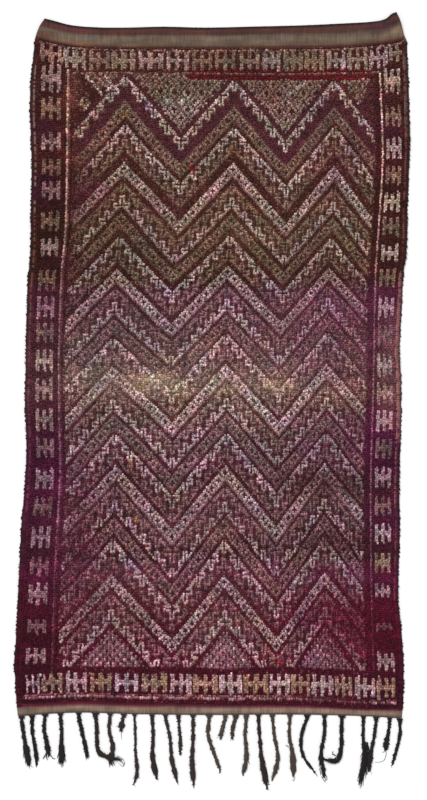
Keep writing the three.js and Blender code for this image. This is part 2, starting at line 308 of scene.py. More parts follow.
# How much of the dye shows at each step away from the middle of a diamond.
DIAMOND_SHOW = np.array([0.0, 0.0, 1.0, 0.88, 0.12])
EYELET = 4
EYELET_SHOW = np.array([0.0, 0.9, 0.6])
EYELET_GAP = 0.4
LADDER_EDGE = 0.45
# Painted shade: in the ladders above this step, the lower half of each diamond shows less dye, as
# if its knots caught less light.
LADDER_LOWER_PAINTED_SHADE = 0.9
LADDER_LOWER_UNTIL = 250
LAST_LINE_SHOW = 0.78
# The lattice at the head is a little taller than it is wide, and lighter at its foot.
LATTICE_STRETCH = 8 / 9
LATTICE_LIGHT_BELOW = 1375.0
LATTICE_LIGHT_SHOW = 0.78
HOOK_LIGHT_SHOW = 0.94
HOOK_DIM_SHOW = 0.95
HOOK = 8
HOOK_DEPTH = 14
# One hooked line: for each of eight columns, the depths of its knots below the band's edge.
HOOK_LINE = [
    (5,), (0, 1, 2, 3, 4), (0, 1), (0, 1), (0, 1, 3, 4, 5), (0, 1, 2, 4), (0, 1, 3),
    (0, 2, 3, 4, 5, 6),
]
HOOK_HALF_KNOTS = [(0, 6), (1, -1), (4, 6), (6, 4)]
HALF_KNOT = 0.4
HOOK_BESIDE = [(1, -1), (-1, 1), (0, 1), (0, -1)]


def hook_chart():
    chart = np.zeros((HOOK, HOOK_DEPTH + 2))
    for column, depths in enumerate(HOOK_LINE):
        chart[column, np.array(depths) + 1] = 1.0
    for column, depth in HOOK_HALF_KNOTS:
        chart[column, depth + 1] = HALF_KNOT
    return chart


def softened(chart, share):
    """The same line with a share of its dye in the knots beside it."""
    beside = [np.roll(chart, shift, (0, 1)) for shift in HOOK_BESIDE]
    return np.maximum(chart, share * (np.max(beside, 0) > 0.9))


HOOK_CHARTS = {
    LIGHT: HOOK_LIGHT_SHOW * softened(hook_chart(), 0.12),
    DIM: HOOK_DIM_SHOW * softened(hook_chart(), 0.24),
}


def diamonds(c, r, size=DIAMOND, shares=DIAMOND_SHOW, centre=0.0):
    """How much dye shows in a field of diamonds touching at their sides."""
    half = size // 2
    a = (c + r + half) % size - half
    b = (c - r + half) % size - half
    distance = np.maximum(np.abs(a), np.abs(b))
    upright = a == -b
    return np.where((distance == 1) & upright, centre, shares[distance])


def hooks(dc, depth, first, second):
    """The shares of two hooked lines; the lower is the upper turned half round."""
    inside = (depth >= -1) & (depth <= HOOK_DEPTH)
    at = np.clip(depth, -1, HOOK_DEPTH)
    upper = HOOK_CHARTS[first][dc % HOOK, at + 1]
    lower = HOOK_CHARTS[second][-dc % HOOK, HOOK_DEPTH - at]
    lower = lower * np.where(depth >= HOOK_DEPTH - 1, LAST_LINE_SHOW, 1.0)
    return upper * inside, lower * inside


HEAD_COMBS = [
    (-779, -678, GOLD), (-670, -571, LIGHT), (-559, -464, DIM), (-453, -348, GOLD),
    (-333, -223, LIGHT), (-205, -105, LIGHT), (-89, 5, DIM), (16, 110, DIM),
    (126, 220, GOLD), (234, 316, LIGHT), (329, 413, DIM), (423, 511, GOLD),
    (526, 606, LIGHT), (618, 710, GOLD), (718, 799, LIGHT), (809, 880, GOLD),
]
FOOT_COMBS = [
    (-845, -778, LIGHT), (-769, -682, GOLD), (-662, -569, LIGHT), (-554, -453, GOLD),
    (-441, -331, LIGHT), (-313, -203, GOLD), (-186, -93, LIGHT), (-80, 25, GOLD),
    (37, 136, LIGHT), (147, 255, GOLD), (261, 353, LIGHT), (365, 448, GOLD),
    (457, 551, LIGHT), (562, 639, GOLD), (655, 742, LIGHT), (753, 835, GOLD),
]
FOOT_COMB_ROWS = (331.6, 340.6)
# The stitched line under the head's combs: share of the width, height above the middle.
HEAD_LINE = [
    (0, 1536), (0.07, 1533), (0.09, 1513), (0.11, 1501), (0.5, 1499), (0.6, 1497),
    (0.88, 1500), (0.93, 1512), (0.96, 1534), (1, 1538),
]
HEAD_LINE_HALF = 4.2
HEAD_LINE_SHOW = 0.36
HEAD_LINE_COLUMNS = (19, 205)
# The head's combs: how far below the pile's first row they start and above the line they end.
HEAD_COMB_TOP = 7.0
HEAD_COMB_FOOT = 8.0
# Tufts lean, so their tips show this much below their knots.
TUFT_DROP = 7.0
# The combs of the two sides: where the middle is along the rug, half the height, the wool.
LEFT_COMBS = [
    (1472, 64, LIGHT), (1335, 54, GOLD), (1183, 42, LIGHT), (1067, 38, DIM),
    (962, 42, LIGHT), (822, 44, DIM), (703, 42, LIGHT), (552, 48, DIM), (430, 49, LIGHT),
    (316, 47, DIM), (188, 50, LIGHT), (56, 51, DIM), (-82, 48, LIGHT), (-207, 44, DIM),
    (-350, 46, LIGHT), (-478, 48, DIM), (-614, 48, LIGHT), (-748, 42, DIM), (-874, 50, LIGHT),
    (-1021, 34, DIM), (-1153, 38, LIGHT),
]
RIGHT_COMBS = [
    (1460, 60, LIGHT), (1300, 52, DIM), (1152, 54, LIGHT), (1032, 44, DIM), (909, 47, LIGHT),
    (797, 46, DIM), (675, 42, LIGHT), (562, 46, GOLD), (429, 53, LIGHT), (304, 52, DIM),
    (167, 54, LIGHT), (37, 49, DIM), (-86, 50, LIGHT), (-212, 50, DIM), (-344, 50, LIGHT),
    (-471, 46, DIM), (-599, 46, LIGHT), (-732, 52, GOLD), (-858, 34, LIGHT), (-1024, 18, DIM),
    (-1180, 42, LIGHT),
]
LEFT_COMB_COLUMNS = (3, 13)
RIGHT_COMB_COLUMNS = (207, 217)
# The upright pale lines (column, strength), their fading down the rug, the stitched row.
LINE_COLUMNS = [(16, 1.0), (17, 0.3), (204, 0.95)]
LINE_SHOW = [(1600, 1.0), (900, 0.95), (300, 0.7), (-500, 0.6), (-800, 0.4), (-1380, 0.25)]
STITCH_ROW = 1
STITCH_SHOW = 0.4
LINE_ROWS = (13, 330)
# The pale line under the foot's combs: its row, and how much of it shows across the rug.
FOOT_LINE_ROWS = ((341, 0.5), (342, 1.0))
FOOT_LINE_SHOW = [
    (-860, 0.95), (120, 1.0), (300, 0.85), (430, 0.45), (660, 0.4), (720, 0.8), (860, 0.75),
]
BAR_WIDTH = 0.2
BAR_TIE = 0.12
RAGGED = 0.07
LINE_CLOUDS = ((0.3, 24, 1, 33),)
STITCH_CLOUDS = ((1, 9, 1, 34),)
STITCH_FULLNESS = 0.9


def comb(u, v, x):
    """Three upright bars tied by a cross bar, on a square from 0 to 1."""
    bars = (u < BAR_WIDTH) | (np.abs(u - 0.5) < BAR_WIDTH / 2) | (u > 1 - BAR_WIDTH)
    trim = RAGGED * (0.6 + clouds(x, 0 * x, 11, 31))
    inside = (u >= 0) & (u <= 1) & (v >= trim) & (v <= 1 - trim)
    return (bars | (np.abs(v - 0.5) < BAR_TIE)) & inside


LATTICE_END = 14
# Where the lattice stops at the two upper corners: column at its last row, columns a row.
LEFT_CORNER = (24.4, 0.8)
RIGHT_CORNER = (198, -0.5)
# Extra light lines in the lattice: from x, y to x, y.
LATTICE_LINES = [
    (-212, 1386, -162, 1349), (-162, 1349, -98, 1395), (289, 1349, 430, 1463),
    (-480, 1485, -450, 1450), (-450, 1450, -470, 1425), (-594, 1367, -576, 1392),
    (-576, 1392, -556, 1367), (-556, 1367, -576, 1340), (-576, 1340, -594, 1367),
]
LATTICE_LINE_REACH = 6
# The red stripe reaches this far above and below the stitched line.
RED_ABOVE = 24.0
RED_BELOW = 27.0
RED_SHOW = 0.78
RED_STRIPE = (-112, 735)
LEFT_SHOW = {LIGHT: 0.74, DIM: 0.82, GOLD: 0.8}
HEAD_SHOW = {LIGHT: 0.76, DIM: 0.95, GOLD: 0.95}
FOOT_SHOW = {LIGHT: 1.0, GOLD: 1.0}
RIGHT_SHOW = {LIGHT: 0.88, DIM: 0.86, GOLD: 0.86}
SIDE_COMBS = [
    (LEFT_COMBS, LEFT_COMB_COLUMNS, LEFT_SHOW), (RIGHT_COMBS, RIGHT_COMB_COLUMNS, RIGHT_SHOW),
]
# Places where the pattern is worn away: x, y, reach across, reach along, share lost.
FADES = [
    (-660, 900, 90, 700, 0.75), (-610, -700, 150, 500, 0.5), (640, -960, 330, 130, 0.6),
    (560, -630, 330, 70, 0.35), (480, -350, 300, 80, 0.3), (680, 300, 160, 500, 0.3),
    (660, -1080, 200, 150, 0.5), (-600, 1050, 130, 160, 0.4),
]


def near_line(x, y, line):
    x0, y0, x1, y1 = line
    run = ((x - x0) * (x1 - x0) + (y - y0) * (y1 - y0)) / math.hypot(x1 - x0, y1 - y0)**2
    run = np.clip(run, 0, 1)
    return np.hypot(x - mix(x0, x1, run), y - mix(y0, y1, run)) < LATTICE_LINE_REACH


class Knots:
    """Every knot's place, the kind of its wool, and how much of its dye shows."""

    def __init__(self, c, r):
        self.c = c
        self.r = r
        self.x, self.y = knot_place(c, r)
        left = left_at(self.y)
        self.across = (self.x - left) / (right_at(self.y) - left)
        self.above = self.y - read(HEAD_LINE, self.across)
        self.from_peak = np.stack([np.abs(c - peak) for peak in PEAKS]).min(0)
        self.step = r - self.from_peak
        self.field = (c >= FIELD[0]) & (c < FIELD[1]) & (r < FIELD_END)
        self.field &= self.above < -HEAD_LINE_HALF
        self.kind = np.full(c.shape, GROUND)
        self.show = np.ones(c.shape)

    def draw(self, where, kind, show=None):
        self.kind = np.where(where, kind, self.kind)
        if show is not None:
            self.show = np.where(where, show, self.show)


def figure(knots, form, wool, line):
    """How much dye shows at each knot of a figured band, and in which wool."""
    depth = knots.r - line
    step = knots.step
    if form == "eyelets":
        share = diamonds(knots.from_peak, depth, EYELET, EYELET_SHOW, 0.5)
        return share * np.where(step % EYELET == 0, EYELET_GAP, 1.0), wool
    if form == "lattice":
        share = diamonds(knots.from_peak, np.round(depth * LATTICE_STRETCH).astype(int))
        pale = knots.y < LATTICE_LIGHT_BELOW
        return share * np.where(pale, LATTICE_LIGHT_SHOW, 1.0), np.where(pale, LIGHT, wool)
    if form == "ladder":
        # Painted shade: less dye shows in the lower half of each diamond of the upper ladders.
        lower = (step > line) & (step < LADDER_LOWER_UNTIL)
        share = diamonds(knots.from_peak, depth) * np.where(lower, LADDER_LOWER_PAINTED_SHADE, 1.0)
        return np.where(np.abs(step - line) > 3, LADDER_EDGE, share), wool
    first, second = (DIM, LIGHT) if form == "hooks_up" else (LIGHT, DIM)
    upper, lower = hooks(knots.from_peak, step - line, first, second)
    if form == "hooks_top":
        lower = 0 * lower
    return np.maximum(upper, lower), np.where(upper > lower, first, second)


def draw_bands(knots):
    for start, end, form, wool, line in all_bands():
        inside = knots.field & (knots.step >= start) & (knots.step < end)
        if form == "plain":
            knots.draw(inside, wool)
            continue
        share, drawn = figure(knots, form, wool, line)
        knots.draw(inside, PURPLE if form == "hooks_top" else DEEP)
        knots.draw(inside & (share > 0), drawn, share)


def draw_corners(knots):
    """The lattice stops short of the upper corners, and has a few lines of its own."""
    top = knots.field & (knots.step < LATTICE_END)
    down = knots.r - LATTICE_END
    left_stop = LEFT_CORNER[0] + LEFT_CORNER[1] * down
    right_stop = RIGHT_CORNER[0] + RIGHT_CORNER[1] * down
    knots.draw(top & (knots.c < left_stop), GROUND)
    knots.draw(top & (np.abs(knots.c - left_stop) < 1) & (knots.r % 4 > 0), LIGHT)
    knots.draw(top & (knots.c > right_stop), PURPLE)
    for line in LATTICE_LINES:
        knots.draw(near_line(knots.x, knots.y, line), LIGHT)


def draw_red_stripe(knots):
    red = (knots.above < RED_ABOVE) & (knots.above > -RED_BELOW)
    red &= (knots.kind != LIGHT) | (knots.step < LATTICE_END)
    red &= (knots.x > RED_STRIPE[0]) & (knots.x < RED_STRIPE[1])
    knots.draw(red, RED, RED_SHOW)


def comb_squares(knots):
    """For each comb: the knots' places across and along it, its wool, how much dye shows."""
    top = read(PILE_START, knots.across) - HEAD_COMB_TOP - HEAD_COMB_FOOT
    room = top - read(HEAD_LINE, knots.across)
    head = 1 - (knots.above - HEAD_COMB_FOOT - TUFT_DROP) / room
    foot = (knots.r + 0.5 - FOOT_COMB_ROWS[0]) / (FOOT_COMB_ROWS[1] - FOOT_COMB_ROWS[0])
    for combs, v, shows in ((HEAD_COMBS, head, HEAD_SHOW), (FOOT_COMBS, foot, FOOT_SHOW)):
        for start, end, wool in combs:
            yield (knots.x - start) / (end - start), v, wool, shows[wool]
    for combs, (first, last), shows in SIDE_COMBS:
        u = (knots.c + 0.5 - first) / (last - first)
        for middle, half, wool in combs:
            yield u, (middle + half - knots.y + TUFT_DROP) / (2 * half), wool, shows[wool]


def draw_lines(knots):
    """The upright pale lines, then the stitched ones across the two ends."""
    c, r, x, y = knots.c, knots.r, knots.x, knots.y
    for column, strength in LINE_COLUMNS:
        show = strength * read(LINE_SHOW, y) * mottle(x, y, LINE_CLOUDS, 1)
        knots.draw((c == column) & (r > LINE_ROWS[0]) & (r < LINE_ROWS[1]), PALE, show)
    inner = (c > 0) & (c < COLUMNS - 1)
    stitched = [(r == STITCH_ROW, STITCH_SHOW)]
    for row, strength in FOOT_LINE_ROWS:
        stitched.append(((r == row) & inner, strength * read(FOOT_LINE_SHOW, x)))
    on_line = (np.abs(knots.above) <= HEAD_LINE_HALF) & (knots.kind != LIGHT)
    on_line &= (c >= HEAD_LINE_COLUMNS[0]) & (c < HEAD_LINE_COLUMNS[1])
    stitched.append((on_line, HEAD_LINE_SHOW))
    broken = mottle(x, y, STITCH_CLOUDS, STITCH_FULLNESS)
    for stitches, strength in stitched:
        knots.draw(stitches, PALE, np.clip(strength * broken, 0, 1))


def pattern(c, r):
    knots = Knots(c, r)
    draw_bands(knots)
    draw_corners(knots)
    draw_red_stripe(knots)
    for u, v, wool, show in comb_squares(knots):
        knots.draw(comb(u, v, knots.x), wool, show)
    draw_lines(knots)
    for middle_x, middle_y, reach_x, reach_y, share in FADES:
        away = np.hypot((knots.x - middle_x) / reach_x, (knots.y - middle_y) / reach_y)
        knots.show = knots.show * (1 - share * smooth(1 - away) * knots.field)
    return knots


# Dye shades along the rug, from the hemmed end down: place, then red, green and blue. The ground
# shades started from tones that a scratch program measured in the photo, band by band. The
# shades of the wools were set with its print-outs too, and all were corrected with more of them.
FIELD_GROUND = [
    (1500, 81, 43, 37), (1281, 76, 37, 34), (1008, 82, 42, 36), (826, 80, 42, 33),
    (644, 76, 37, 31), (548, 71, 33, 30), (518, 80, 37, 43), (280, 97, 55, 59),
    (98, 109, 69, 67), (7, 97, 56, 53), (-84, 88, 46, 49), (-266, 79, 32, 44),
    (-357, 76, 31, 38), (-448, 83, 35, 44), (-630, 75, 28, 37), (-706, 70, 26, 33),
    (-730, 90, 34, 53), (-812, 90, 32, 49), (-903, 86, 23, 39), (-1085, 84, 20, 37),
    (-1180, 80, 17, 35), (-1380, 76, 17, 32),
]
SIDE_GROUND = [
    (1500, 66, 30, 28), (1200, 60, 25, 25), (900, 60, 27, 24), (553, 62, 26, 28),
    (525, 76, 30, 46), (98, 82, 44, 50), (-200, 70, 22, 46), (-550, 76, 24, 48),
    (-706, 62, 22, 34), (-730, 76, 20, 44), (-1000, 70, 13, 32), (-1380, 60, 14, 30),
]
RIGHT_SIDE_GAIN = (1.04, 1.06, 1.06)
LIGHT_WOOL = [
    (1600, 182, 157, 149), (1000, 177, 153, 144), (548, 172, 149, 142), (518, 178, 151, 154),
    (300, 182, 155, 156), (60, 197, 173, 164), (-200, 172, 147, 150), (-700, 170, 142, 147),
    (-1380, 178, 142, 146),
]
DIM_WOOL = [
    (1600, 136, 110, 97), (1000, 134, 107, 92), (548, 130, 105, 90), (518, 136, 102, 106),
    (300, 137, 106, 105), (60, 156, 129, 118), (-200, 134, 105, 105), (-700, 136, 99, 104),
    (-1380, 142, 90, 97),
]
GOLD_WOOL = [(1600, 150, 120, 104), (0, 140, 112, 94), (-1380, 156, 118, 104)]
RED_WOOL = [(1600, 100, 24, 31), (-1380, 100, 24, 31)]
PURPLE_WOOL = [(1600, 84, 44, 46), (0, 92, 38, 58), (-1380, 84, 20, 46)]
PALE_WOOL = [
    (1600, 214, 174, 162), (900, 204, 160, 148), (300, 176, 132, 138), (-1380, 180, 128, 132),
]
WOOLS = {
    LIGHT: LIGHT_WOOL, DIM: DIM_WOOL, GOLD: GOLD_WOOL, RED: RED_WOOL, PURPLE: PURPLE_WOOL,
    PALE: PALE_WOOL,
}
# A few knots of the ground are dyed lighter: their share and how much dye shows in them.
STRAY_SHARE = 0.1
STRAY_SHOW = 0.5
# How bright the field's ground and the light wool are against their tables.
GROUND_GAIN = 0.96
LIGHT_GAIN = 1.025
SIDE_COLUMNS = 19
# Stains and uneven dye: x, y, reach across, reach along, red, green, blue, share.
STAINS = [
    (-310, 84, 64, 46, 218, 194, 146, 0.95), (-240, 110, 90, 54, 196, 172, 134, 0.65),
    (-60, 85, 420, 60, 170, 150, 124, 0.32), (310, 75, 120, 45, 196, 176, 132, 0.55),
    (-420, 110, 330, 110, 146, 124, 112, 0.3), (-640, 470, 160, 90, 70, 32, 36, 0.5),
    (560, 330, 420, 330, 118, 46, 86, 0.4), (640, -130, 330, 160, 106, 30, 72, 0.5),
    (-620, -40, 200, 130, 84, 34, 52, 0.45), (500, -385, 420, 80, 74, 38, 36, 0.5),
    (-560, 930, 140, 120, 92, 34, 50, 0.6), (-190, 890, 110, 70, 96, 36, 54, 0.5),
    (-640, 640, 130, 120, 88, 34, 46, 0.4), (560, -960, 420, 120, 98, 16, 42, 0.5),
    (700, -1090, 260, 160, 96, 14, 40, 0.5), (-640, -760, 230, 260, 96, 30, 60, 0.45),
    (100, 760, 900, 130, 104, 76, 54, 0.25), (620, 1180, 260, 260, 92, 34, 48, 0.35),
    (-640, 1180, 200, 260, 104, 42, 42, 0.4), (-60, -560, 420, 90, 128, 84, 78, 0.25),
    (600, -620, 260, 60, 66, 26, 32, 0.4), (-302, 1335, 70, 60, 84, 36, 72, 0.6),
    (741, 1390, 90, 70, 74, 34, 50, 0.5), (520, 1350, 60, 60, 78, 34, 56, 0.5),
    (-640, -380, 200, 160, 92, 26, 60, 0.45), (620, -800, 300, 80, 104, 30, 66, 0.4),
    (-640, 1400, 60, 110, 118, 66, 58, 0.75), (810, 160, 70, 300, 126, 82, 86, 0.58),
    (-765, 1240, 90, 60, 74, 32, 44, 0.8), (-760, 970, 80, 90, 66, 24, 42, 0.9),
    (-765, 1440, 90, 60, 74, 40, 40, 0.6), (800, 1230, 80, 50, 62, 26, 38, 0.7),
    (800, 1400, 90, 90, 70, 36, 32, 0.5), (-760, 450, 90, 60, 84, 28, 56, 0.6),
    (-400, -900, 300, 200, 112, 84, 72, 0.22), (60, -960, 220, 240, 116, 84, 70, 0.25),
]
# Broad darker and lighter areas: x, y, reach across, reach along, how bright.
SHADES = [
    (-500, 560, 330, 620, 0.92), (500, 0, 330, 1100, 0.94), (40, -1180, 420, 200, 1.05),
    (815, -30, 90, 160, 1.14), (815, 1180, 90, 380, 1.12), (815, -640, 90, 200, 1.07),
]
# Small knots of another colour: x, y, reach, red, green, blue.
SPECKS = [
    (-395, 1304, 26, 136, 92, 60), (98, 1140, 24, 150, 92, 60), (-84, 1062, 20, 152, 40, 46),
    (-98, 1076, 12, 150, 42, 46), (-348, -526, 14, 176, 122, 70), (-366, -271, 14, 176, 126, 74),
    (-216, -680, 14, 112, 96, 62), (-180, -676, 10, 206, 92, 70), (-390, -655, 12, 196, 80, 60),
    (-300, -650, 10, 190, 84, 62), (312, -1176, 16, 190, 48, 62), (-574, 1367, 24, 136, 118, 88),
    (-235, 1450, 14, 128, 80, 70), (-180, 1445, 12, 126, 76, 66),
]


# How much single knots differ, in the figures and in the plain ground.
KNOT_SPREAD = 0.17
PLAIN_SPREAD = 0.13
HUE_SWING = np.array([-0.05, 0.01, -0.07])
TAN_SWING = np.array([0.04, -0.02, -0.05])
# Uneven dye, in layers: share, size, how many times finer along the rug, seed.
HUE_CLOUDS = ((1, 70, 1, 3), (0.6, 26, 1, 8))
TAN_CLOUDS = ((1, 90, 1, 6), (0.5, 30, 1, 9))
KNOT_CLOUDS = ((0.1, 30, 1, 4), (0.08, 220, 5, 5))
STAIN_CLOUDS = ((0.5, 38, 1, 21),)
STAIN_LIMIT = 0.9
MOTIF_STAIN = 0.35
SPECK_SHARE = 0.75
SPREAD_LIMIT = 0.35
DYE_LIMITS = (8, 250)
CLOUD_CELLS = 96
# A spot is at full strength up to a quarter of its reach, and gone at one and a quarter.
SPOT_REACH = 1.25


def dye_at(table, y):
    return np.stack(read_each(table, y), -1)


def linear(shade):
    s = np.asarray(shade, float) / 255
    return np.where(s <= 0.04045, s / 12.92, ((s + 0.055) / 1.055) ** 2.4)


def clouds(x, y, size, seed):
    """Smooth patches between -1 and 1, about `size` millimetres across, from their own seed."""
    grid = np.random.default_rng(seed).uniform(-1, 1, (CLOUD_CELLS, CLOUD_CELLS))
    u = x / size + CLOUD_CELLS // 2
    v = y / size + CLOUD_CELLS // 2
    i = np.floor(u).astype(int) % (CLOUD_CELLS - 1)
    j = np.floor(v).astype(int) % (CLOUD_CELLS - 1)
    s = smooth(u - np.floor(u))
    t = smooth(v - np.floor(v))
    return mix(mix(grid[i, j], grid[i + 1, j], s), mix(grid[i, j + 1], grid[i + 1, j + 1], s), t)


def mottle(x, y, layers, base=0.0):
    for share, size, finer, seed in layers:
        base = base + share * clouds(x, y * finer, size, seed)
    return base


def spot(x, y, middle_x, middle_y, reach_x, reach_y):
    away = np.hypot((x - middle_x) / reach_x, (y - middle_y) / reach_y)
    return smooth(SPOT_REACH - away)[..., None]


def stained(shade, x, y, gain=1.0):
    for middle_x, middle_y, reach_x, reach_y, *colour, share in STAINS:
        near = spot(x, y, middle_x, middle_y, reach_x, reach_y)
        rough = mottle(x, y, STAIN_CLOUDS, 1)[..., None]
        share = np.clip(share * gain * near * rough, 0, STAIN_LIMIT)
        shade = mix(shade, np.array(colour, float), share)
    return shade


def knot_colours(c, r):
    """The dye of each knot, with painted shade in the lower halves of ladder diamonds, and how
    bulky its wool is.
    """
    knots = pattern(c, r)
    x, y, kind = knots.x, knots.y, knots.kind
    side = ((c < SIDE_COLUMNS) | (c > COLUMNS - SIDE_COLUMNS))[..., None]
    gain = np.where((x > 0)[..., None], RIGHT_SIDE_GAIN, 1.0)
    ground = np.where(side, dye_at(SIDE_GROUND, y) * gain, dye_at(FIELD_GROUND, y))
    ground = stained(ground, x, y) * np.where(side, 1, GROUND_GAIN)
    shade = ground.copy()
    motif = np.zeros(c.shape, bool)
    for dyed, table in WOOLS.items():
        shade = np.where((kind == dyed)[..., None], dye_at(table, y), shade)
        motif |= (kind == dyed) & (dyed not in (RED, PURPLE))
    hue = mottle(x, y, HUE_CLOUDS)[..., None]
    tan = mottle(x, y, TAN_CLOUDS)[..., None]
    tinted = shade * (1 + hue * HUE_SWING + tan * TAN_SWING)
    tinted = tinted * np.where(kind == LIGHT, LIGHT_GAIN, 1.0)[..., None]
    tinted = stained(tinted, x, y, MOTIF_STAIN)
    shade = np.where(motif[..., None], tinted, shade)
    shade = mix(ground, shade, knots.show[..., None])
    stray = random.uniform(size=c.shape) < STRAY_SHARE
    stray &= ((kind == DEEP) | (kind == GROUND)) & ~side[..., 0]
    shade = mix(shade, dye_at(DIM_WOOL, y), (STRAY_SHOW * stray)[..., None])
    for middle_x, middle_y, reach, *colour in SPECKS:
        near = spot(x, y, middle_x, middle_y, reach, reach) * SPECK_SHARE
        shade = np.where(motif[..., None], mix(shade, np.array(colour, float), near), shade)
    shade = shade * mottle(x, y, KNOT_CLOUDS, 1)[..., None]
    spread = np.where(motif, KNOT_SPREAD, PLAIN_SPREAD)
    spread = (spread * random.normal(0, 1, c.shape)).clip(-SPREAD_LIMIT, SPREAD_LIMIT)
    shade = shade * (1 + spread)[..., None]
    for middle_x, middle_y, reach_x, reach_y, bright in SHADES:
        shade = shade * mix(1, bright, spot(x, y, middle_x, middle_y, reach_x, reach_y))
    return linear(np.clip(shade, *DYE_LIMITS)), motif * knots.show


# Mesh helpers.
def mesh_object(name, points, faces, colours=None, uv=None):
    """points in table millimetres, faces as rows of four corners."""
    mesh = bpy.data.meshes.new(name)
    points = metres(points)
    faces = np.asarray(faces)
    mesh.vertices.add(len(points))
    mesh.vertices.foreach_set("co", points.astype(np.float32).ravel())
    mesh.loops.add(faces.size)
    mesh.loops.foreach_set("vertex_index", faces.astype(np.int32).ravel())
    mesh.polygons.add(len(faces))
    size = faces.shape[1]
    mesh.polygons.foreach_set("loop_start", np.arange(0, faces.size, size, dtype=np.int32))
    mesh.polygons.foreach_set("use_smooth", np.ones(len(faces), bool))
    if uv is not None:
        layer = mesh.uv_layers.new(name="OFBake")
        layer.uv.foreach_set("vector", uv.astype(np.float32).ravel())
    if colours is not None:
        # The colour attribute holds the dyes and, on some meshes, painted shade.
        layer = mesh.color_attributes.new("dye_with_painted_shade", "FLOAT_COLOR", "POINT")
        rgba = np.ones((len(points), 4), np.float32)
        rgba[:, :3] = colours
        layer.data.foreach_set("color", rgba.ravel())
    mesh.update(calc_edges=True)
    mesh.validate()
    obj = bpy.data.objects.new(name, mesh)
    bpy.context.scene.collection.objects.link(obj)
    return obj


def grid_faces(rows, columns, offset=0, flip=False):
    """Quads of a grid of points laid out row by row."""
    i, j = np.meshgrid(np.arange(rows - 1), np.arange(columns - 1), indexing="ij")
    a = (i * columns + j).ravel() + offset
    quads = np.stack([a, a + 1, a + columns + 1, a + columns], axis=1)
    return quads[:, ::-1] if flip else quads


# The woven ground: one closed sheet from the hem to the fringed edge.
GROUND_COLUMNS = 120
GROUND_HEIGHT = 3.2
FOOT_ROWS = 12
PILE_ROWS = 54
HEAD_ROWS = 34
# How much closer the columns lie at the two sides.
SIDE_CROWDING = 0.35


def ground_rows():
    """Shares of the length, from the fringed edge (0) to the hem (3)."""
    foot = np.linspace(0, 1, FOOT_ROWS, endpoint=False)
    pile = np.linspace(1, 2, PILE_ROWS, endpoint=False)
    head = np.linspace(2, 3, HEAD_ROWS)
    return np.concatenate([foot, pile, head])


def ground_grid():
    shares = np.linspace(0, 1, GROUND_COLUMNS)
    shares = shares - SIDE_CROWDING * np.sin(2 * math.pi * shares) / (2 * math.pi)
    at = ground_rows()
    across, at = np.meshgrid(shares, at)
    lines = [read(t, across) for t in (FRINGED_EDGE, PILE_END, PILE_START, HEMMED_EDGE)]
    y = np.where(
        at < 1,
        mix(lines[0], lines[1], at),
        np.where(at < 2, mix(lines[1], lines[2], at - 1), mix(lines[2], lines[3], at - 2)),
    )
    x = mix(left_at(y), right_at(y), across)
    return across, x, y


# Weft colours of the flat-woven ends: share of the way to the pile, then the shade.
HEAD_KILIM = [
    (0, 44, 31, 28), (0.07, 56, 38, 34), (0.13, 82, 53, 47), (0.3, 80, 54, 48),
    (0.38, 96, 80, 70), (0.55, 104, 88, 75), (0.78, 96, 78, 66), (0.87, 76, 44, 38),
    (1, 68, 34, 32),
]
FOOT_KILIM = [
    (0, 84, 70, 62), (0.2, 118, 99, 87), (0.6, 130, 105, 94), (0.8, 108, 68, 66),
    (1, 78, 26, 40),
]
# Patches in them: x, share of the way, reach across, reach of share, shade, strength.
HEAD_PATCHES = [
    (-640, 0.2, 110, 0.1, 96, 44, 58, 0.5), (30, 0.2, 50, 0.1, 84, 48, 72, 0.5),
    (110, 0.42, 60, 0.08, 92, 98, 76, 0.4), (242, 0.42, 45, 0.08, 90, 96, 74, 0.4),
    (318, 0.45, 60, 0.12, 106, 88, 88, 0.4), (-565, 0.45, 50, 0.06, 84, 84, 90, 0.5),
    (-610, 0.72, 110, 0.1, 132, 96, 62, 0.45), (-565, 0.84, 70, 0.05, 132, 62, 46, 0.5),
    (-760, 0.65, 50, 0.2, 104, 58, 48, 0.5), (-560, 0.93, 60, 0.04, 80, 38, 62, 0.5),
    (780, 0.25, 90, 0.3, 62, 38, 44, 0.6), (838, 0.55, 30, 0.12, 150, 124, 96, 0.5),
    (420, 0.3, 220, 0.06, 96, 72, 68, 0.3), (-300, 0.22, 200, 0.08, 92, 50, 50, 0.4),
    (-210, 0.72, 90, 0.1, 112, 88, 62, 0.3),
]
FOOT_PATCHES = [
    (-840, 0.5, 60, 0.5, 92, 84, 70, 0.6), (-190, 0.6, 40, 0.4, 150, 122, 104, 0.5),
    (350, 0.5, 60, 0.4, 138, 104, 100, 0.4), (-500, 0.5, 120, 0.4, 128, 100, 92, 0.3),
    (640, 0.5, 100, 0.4, 126, 100, 94, 0.3),
]
KILIM_CLOUDS = ((0.1, 120, 6, 15), (0.08, 25, 1, 16))


def patched(shade, x, share, patches):
    for middle, at, reach, reach_share, *colour, strength in patches:
        near = spot(x, share, middle, at, reach, reach_share) * strength
        shade = mix(shade, np.array(colour, float), near)
    return shade


def kilim_shades(across, x, y):
    hem, start, end, edge = (
        read(t, across) for t in (HEMMED_EDGE, PILE_START, PILE_END, FRINGED_EDGE)
    )
    head = (hem - y) / (hem - start)
    foot = (y - edge) / (end - edge)
    head_shade = patched(dye_at(HEAD_KILIM, head), x, head, HEAD_PATCHES)
    foot_shade = patched(dye_at(FOOT_KILIM, foot), x, foot, FOOT_PATCHES)
    shade = np.where((y > 0)[..., None], head_shade, foot_shade)
    return shade * mottle(x, y, KILIM_CLOUDS, 1)[..., None]


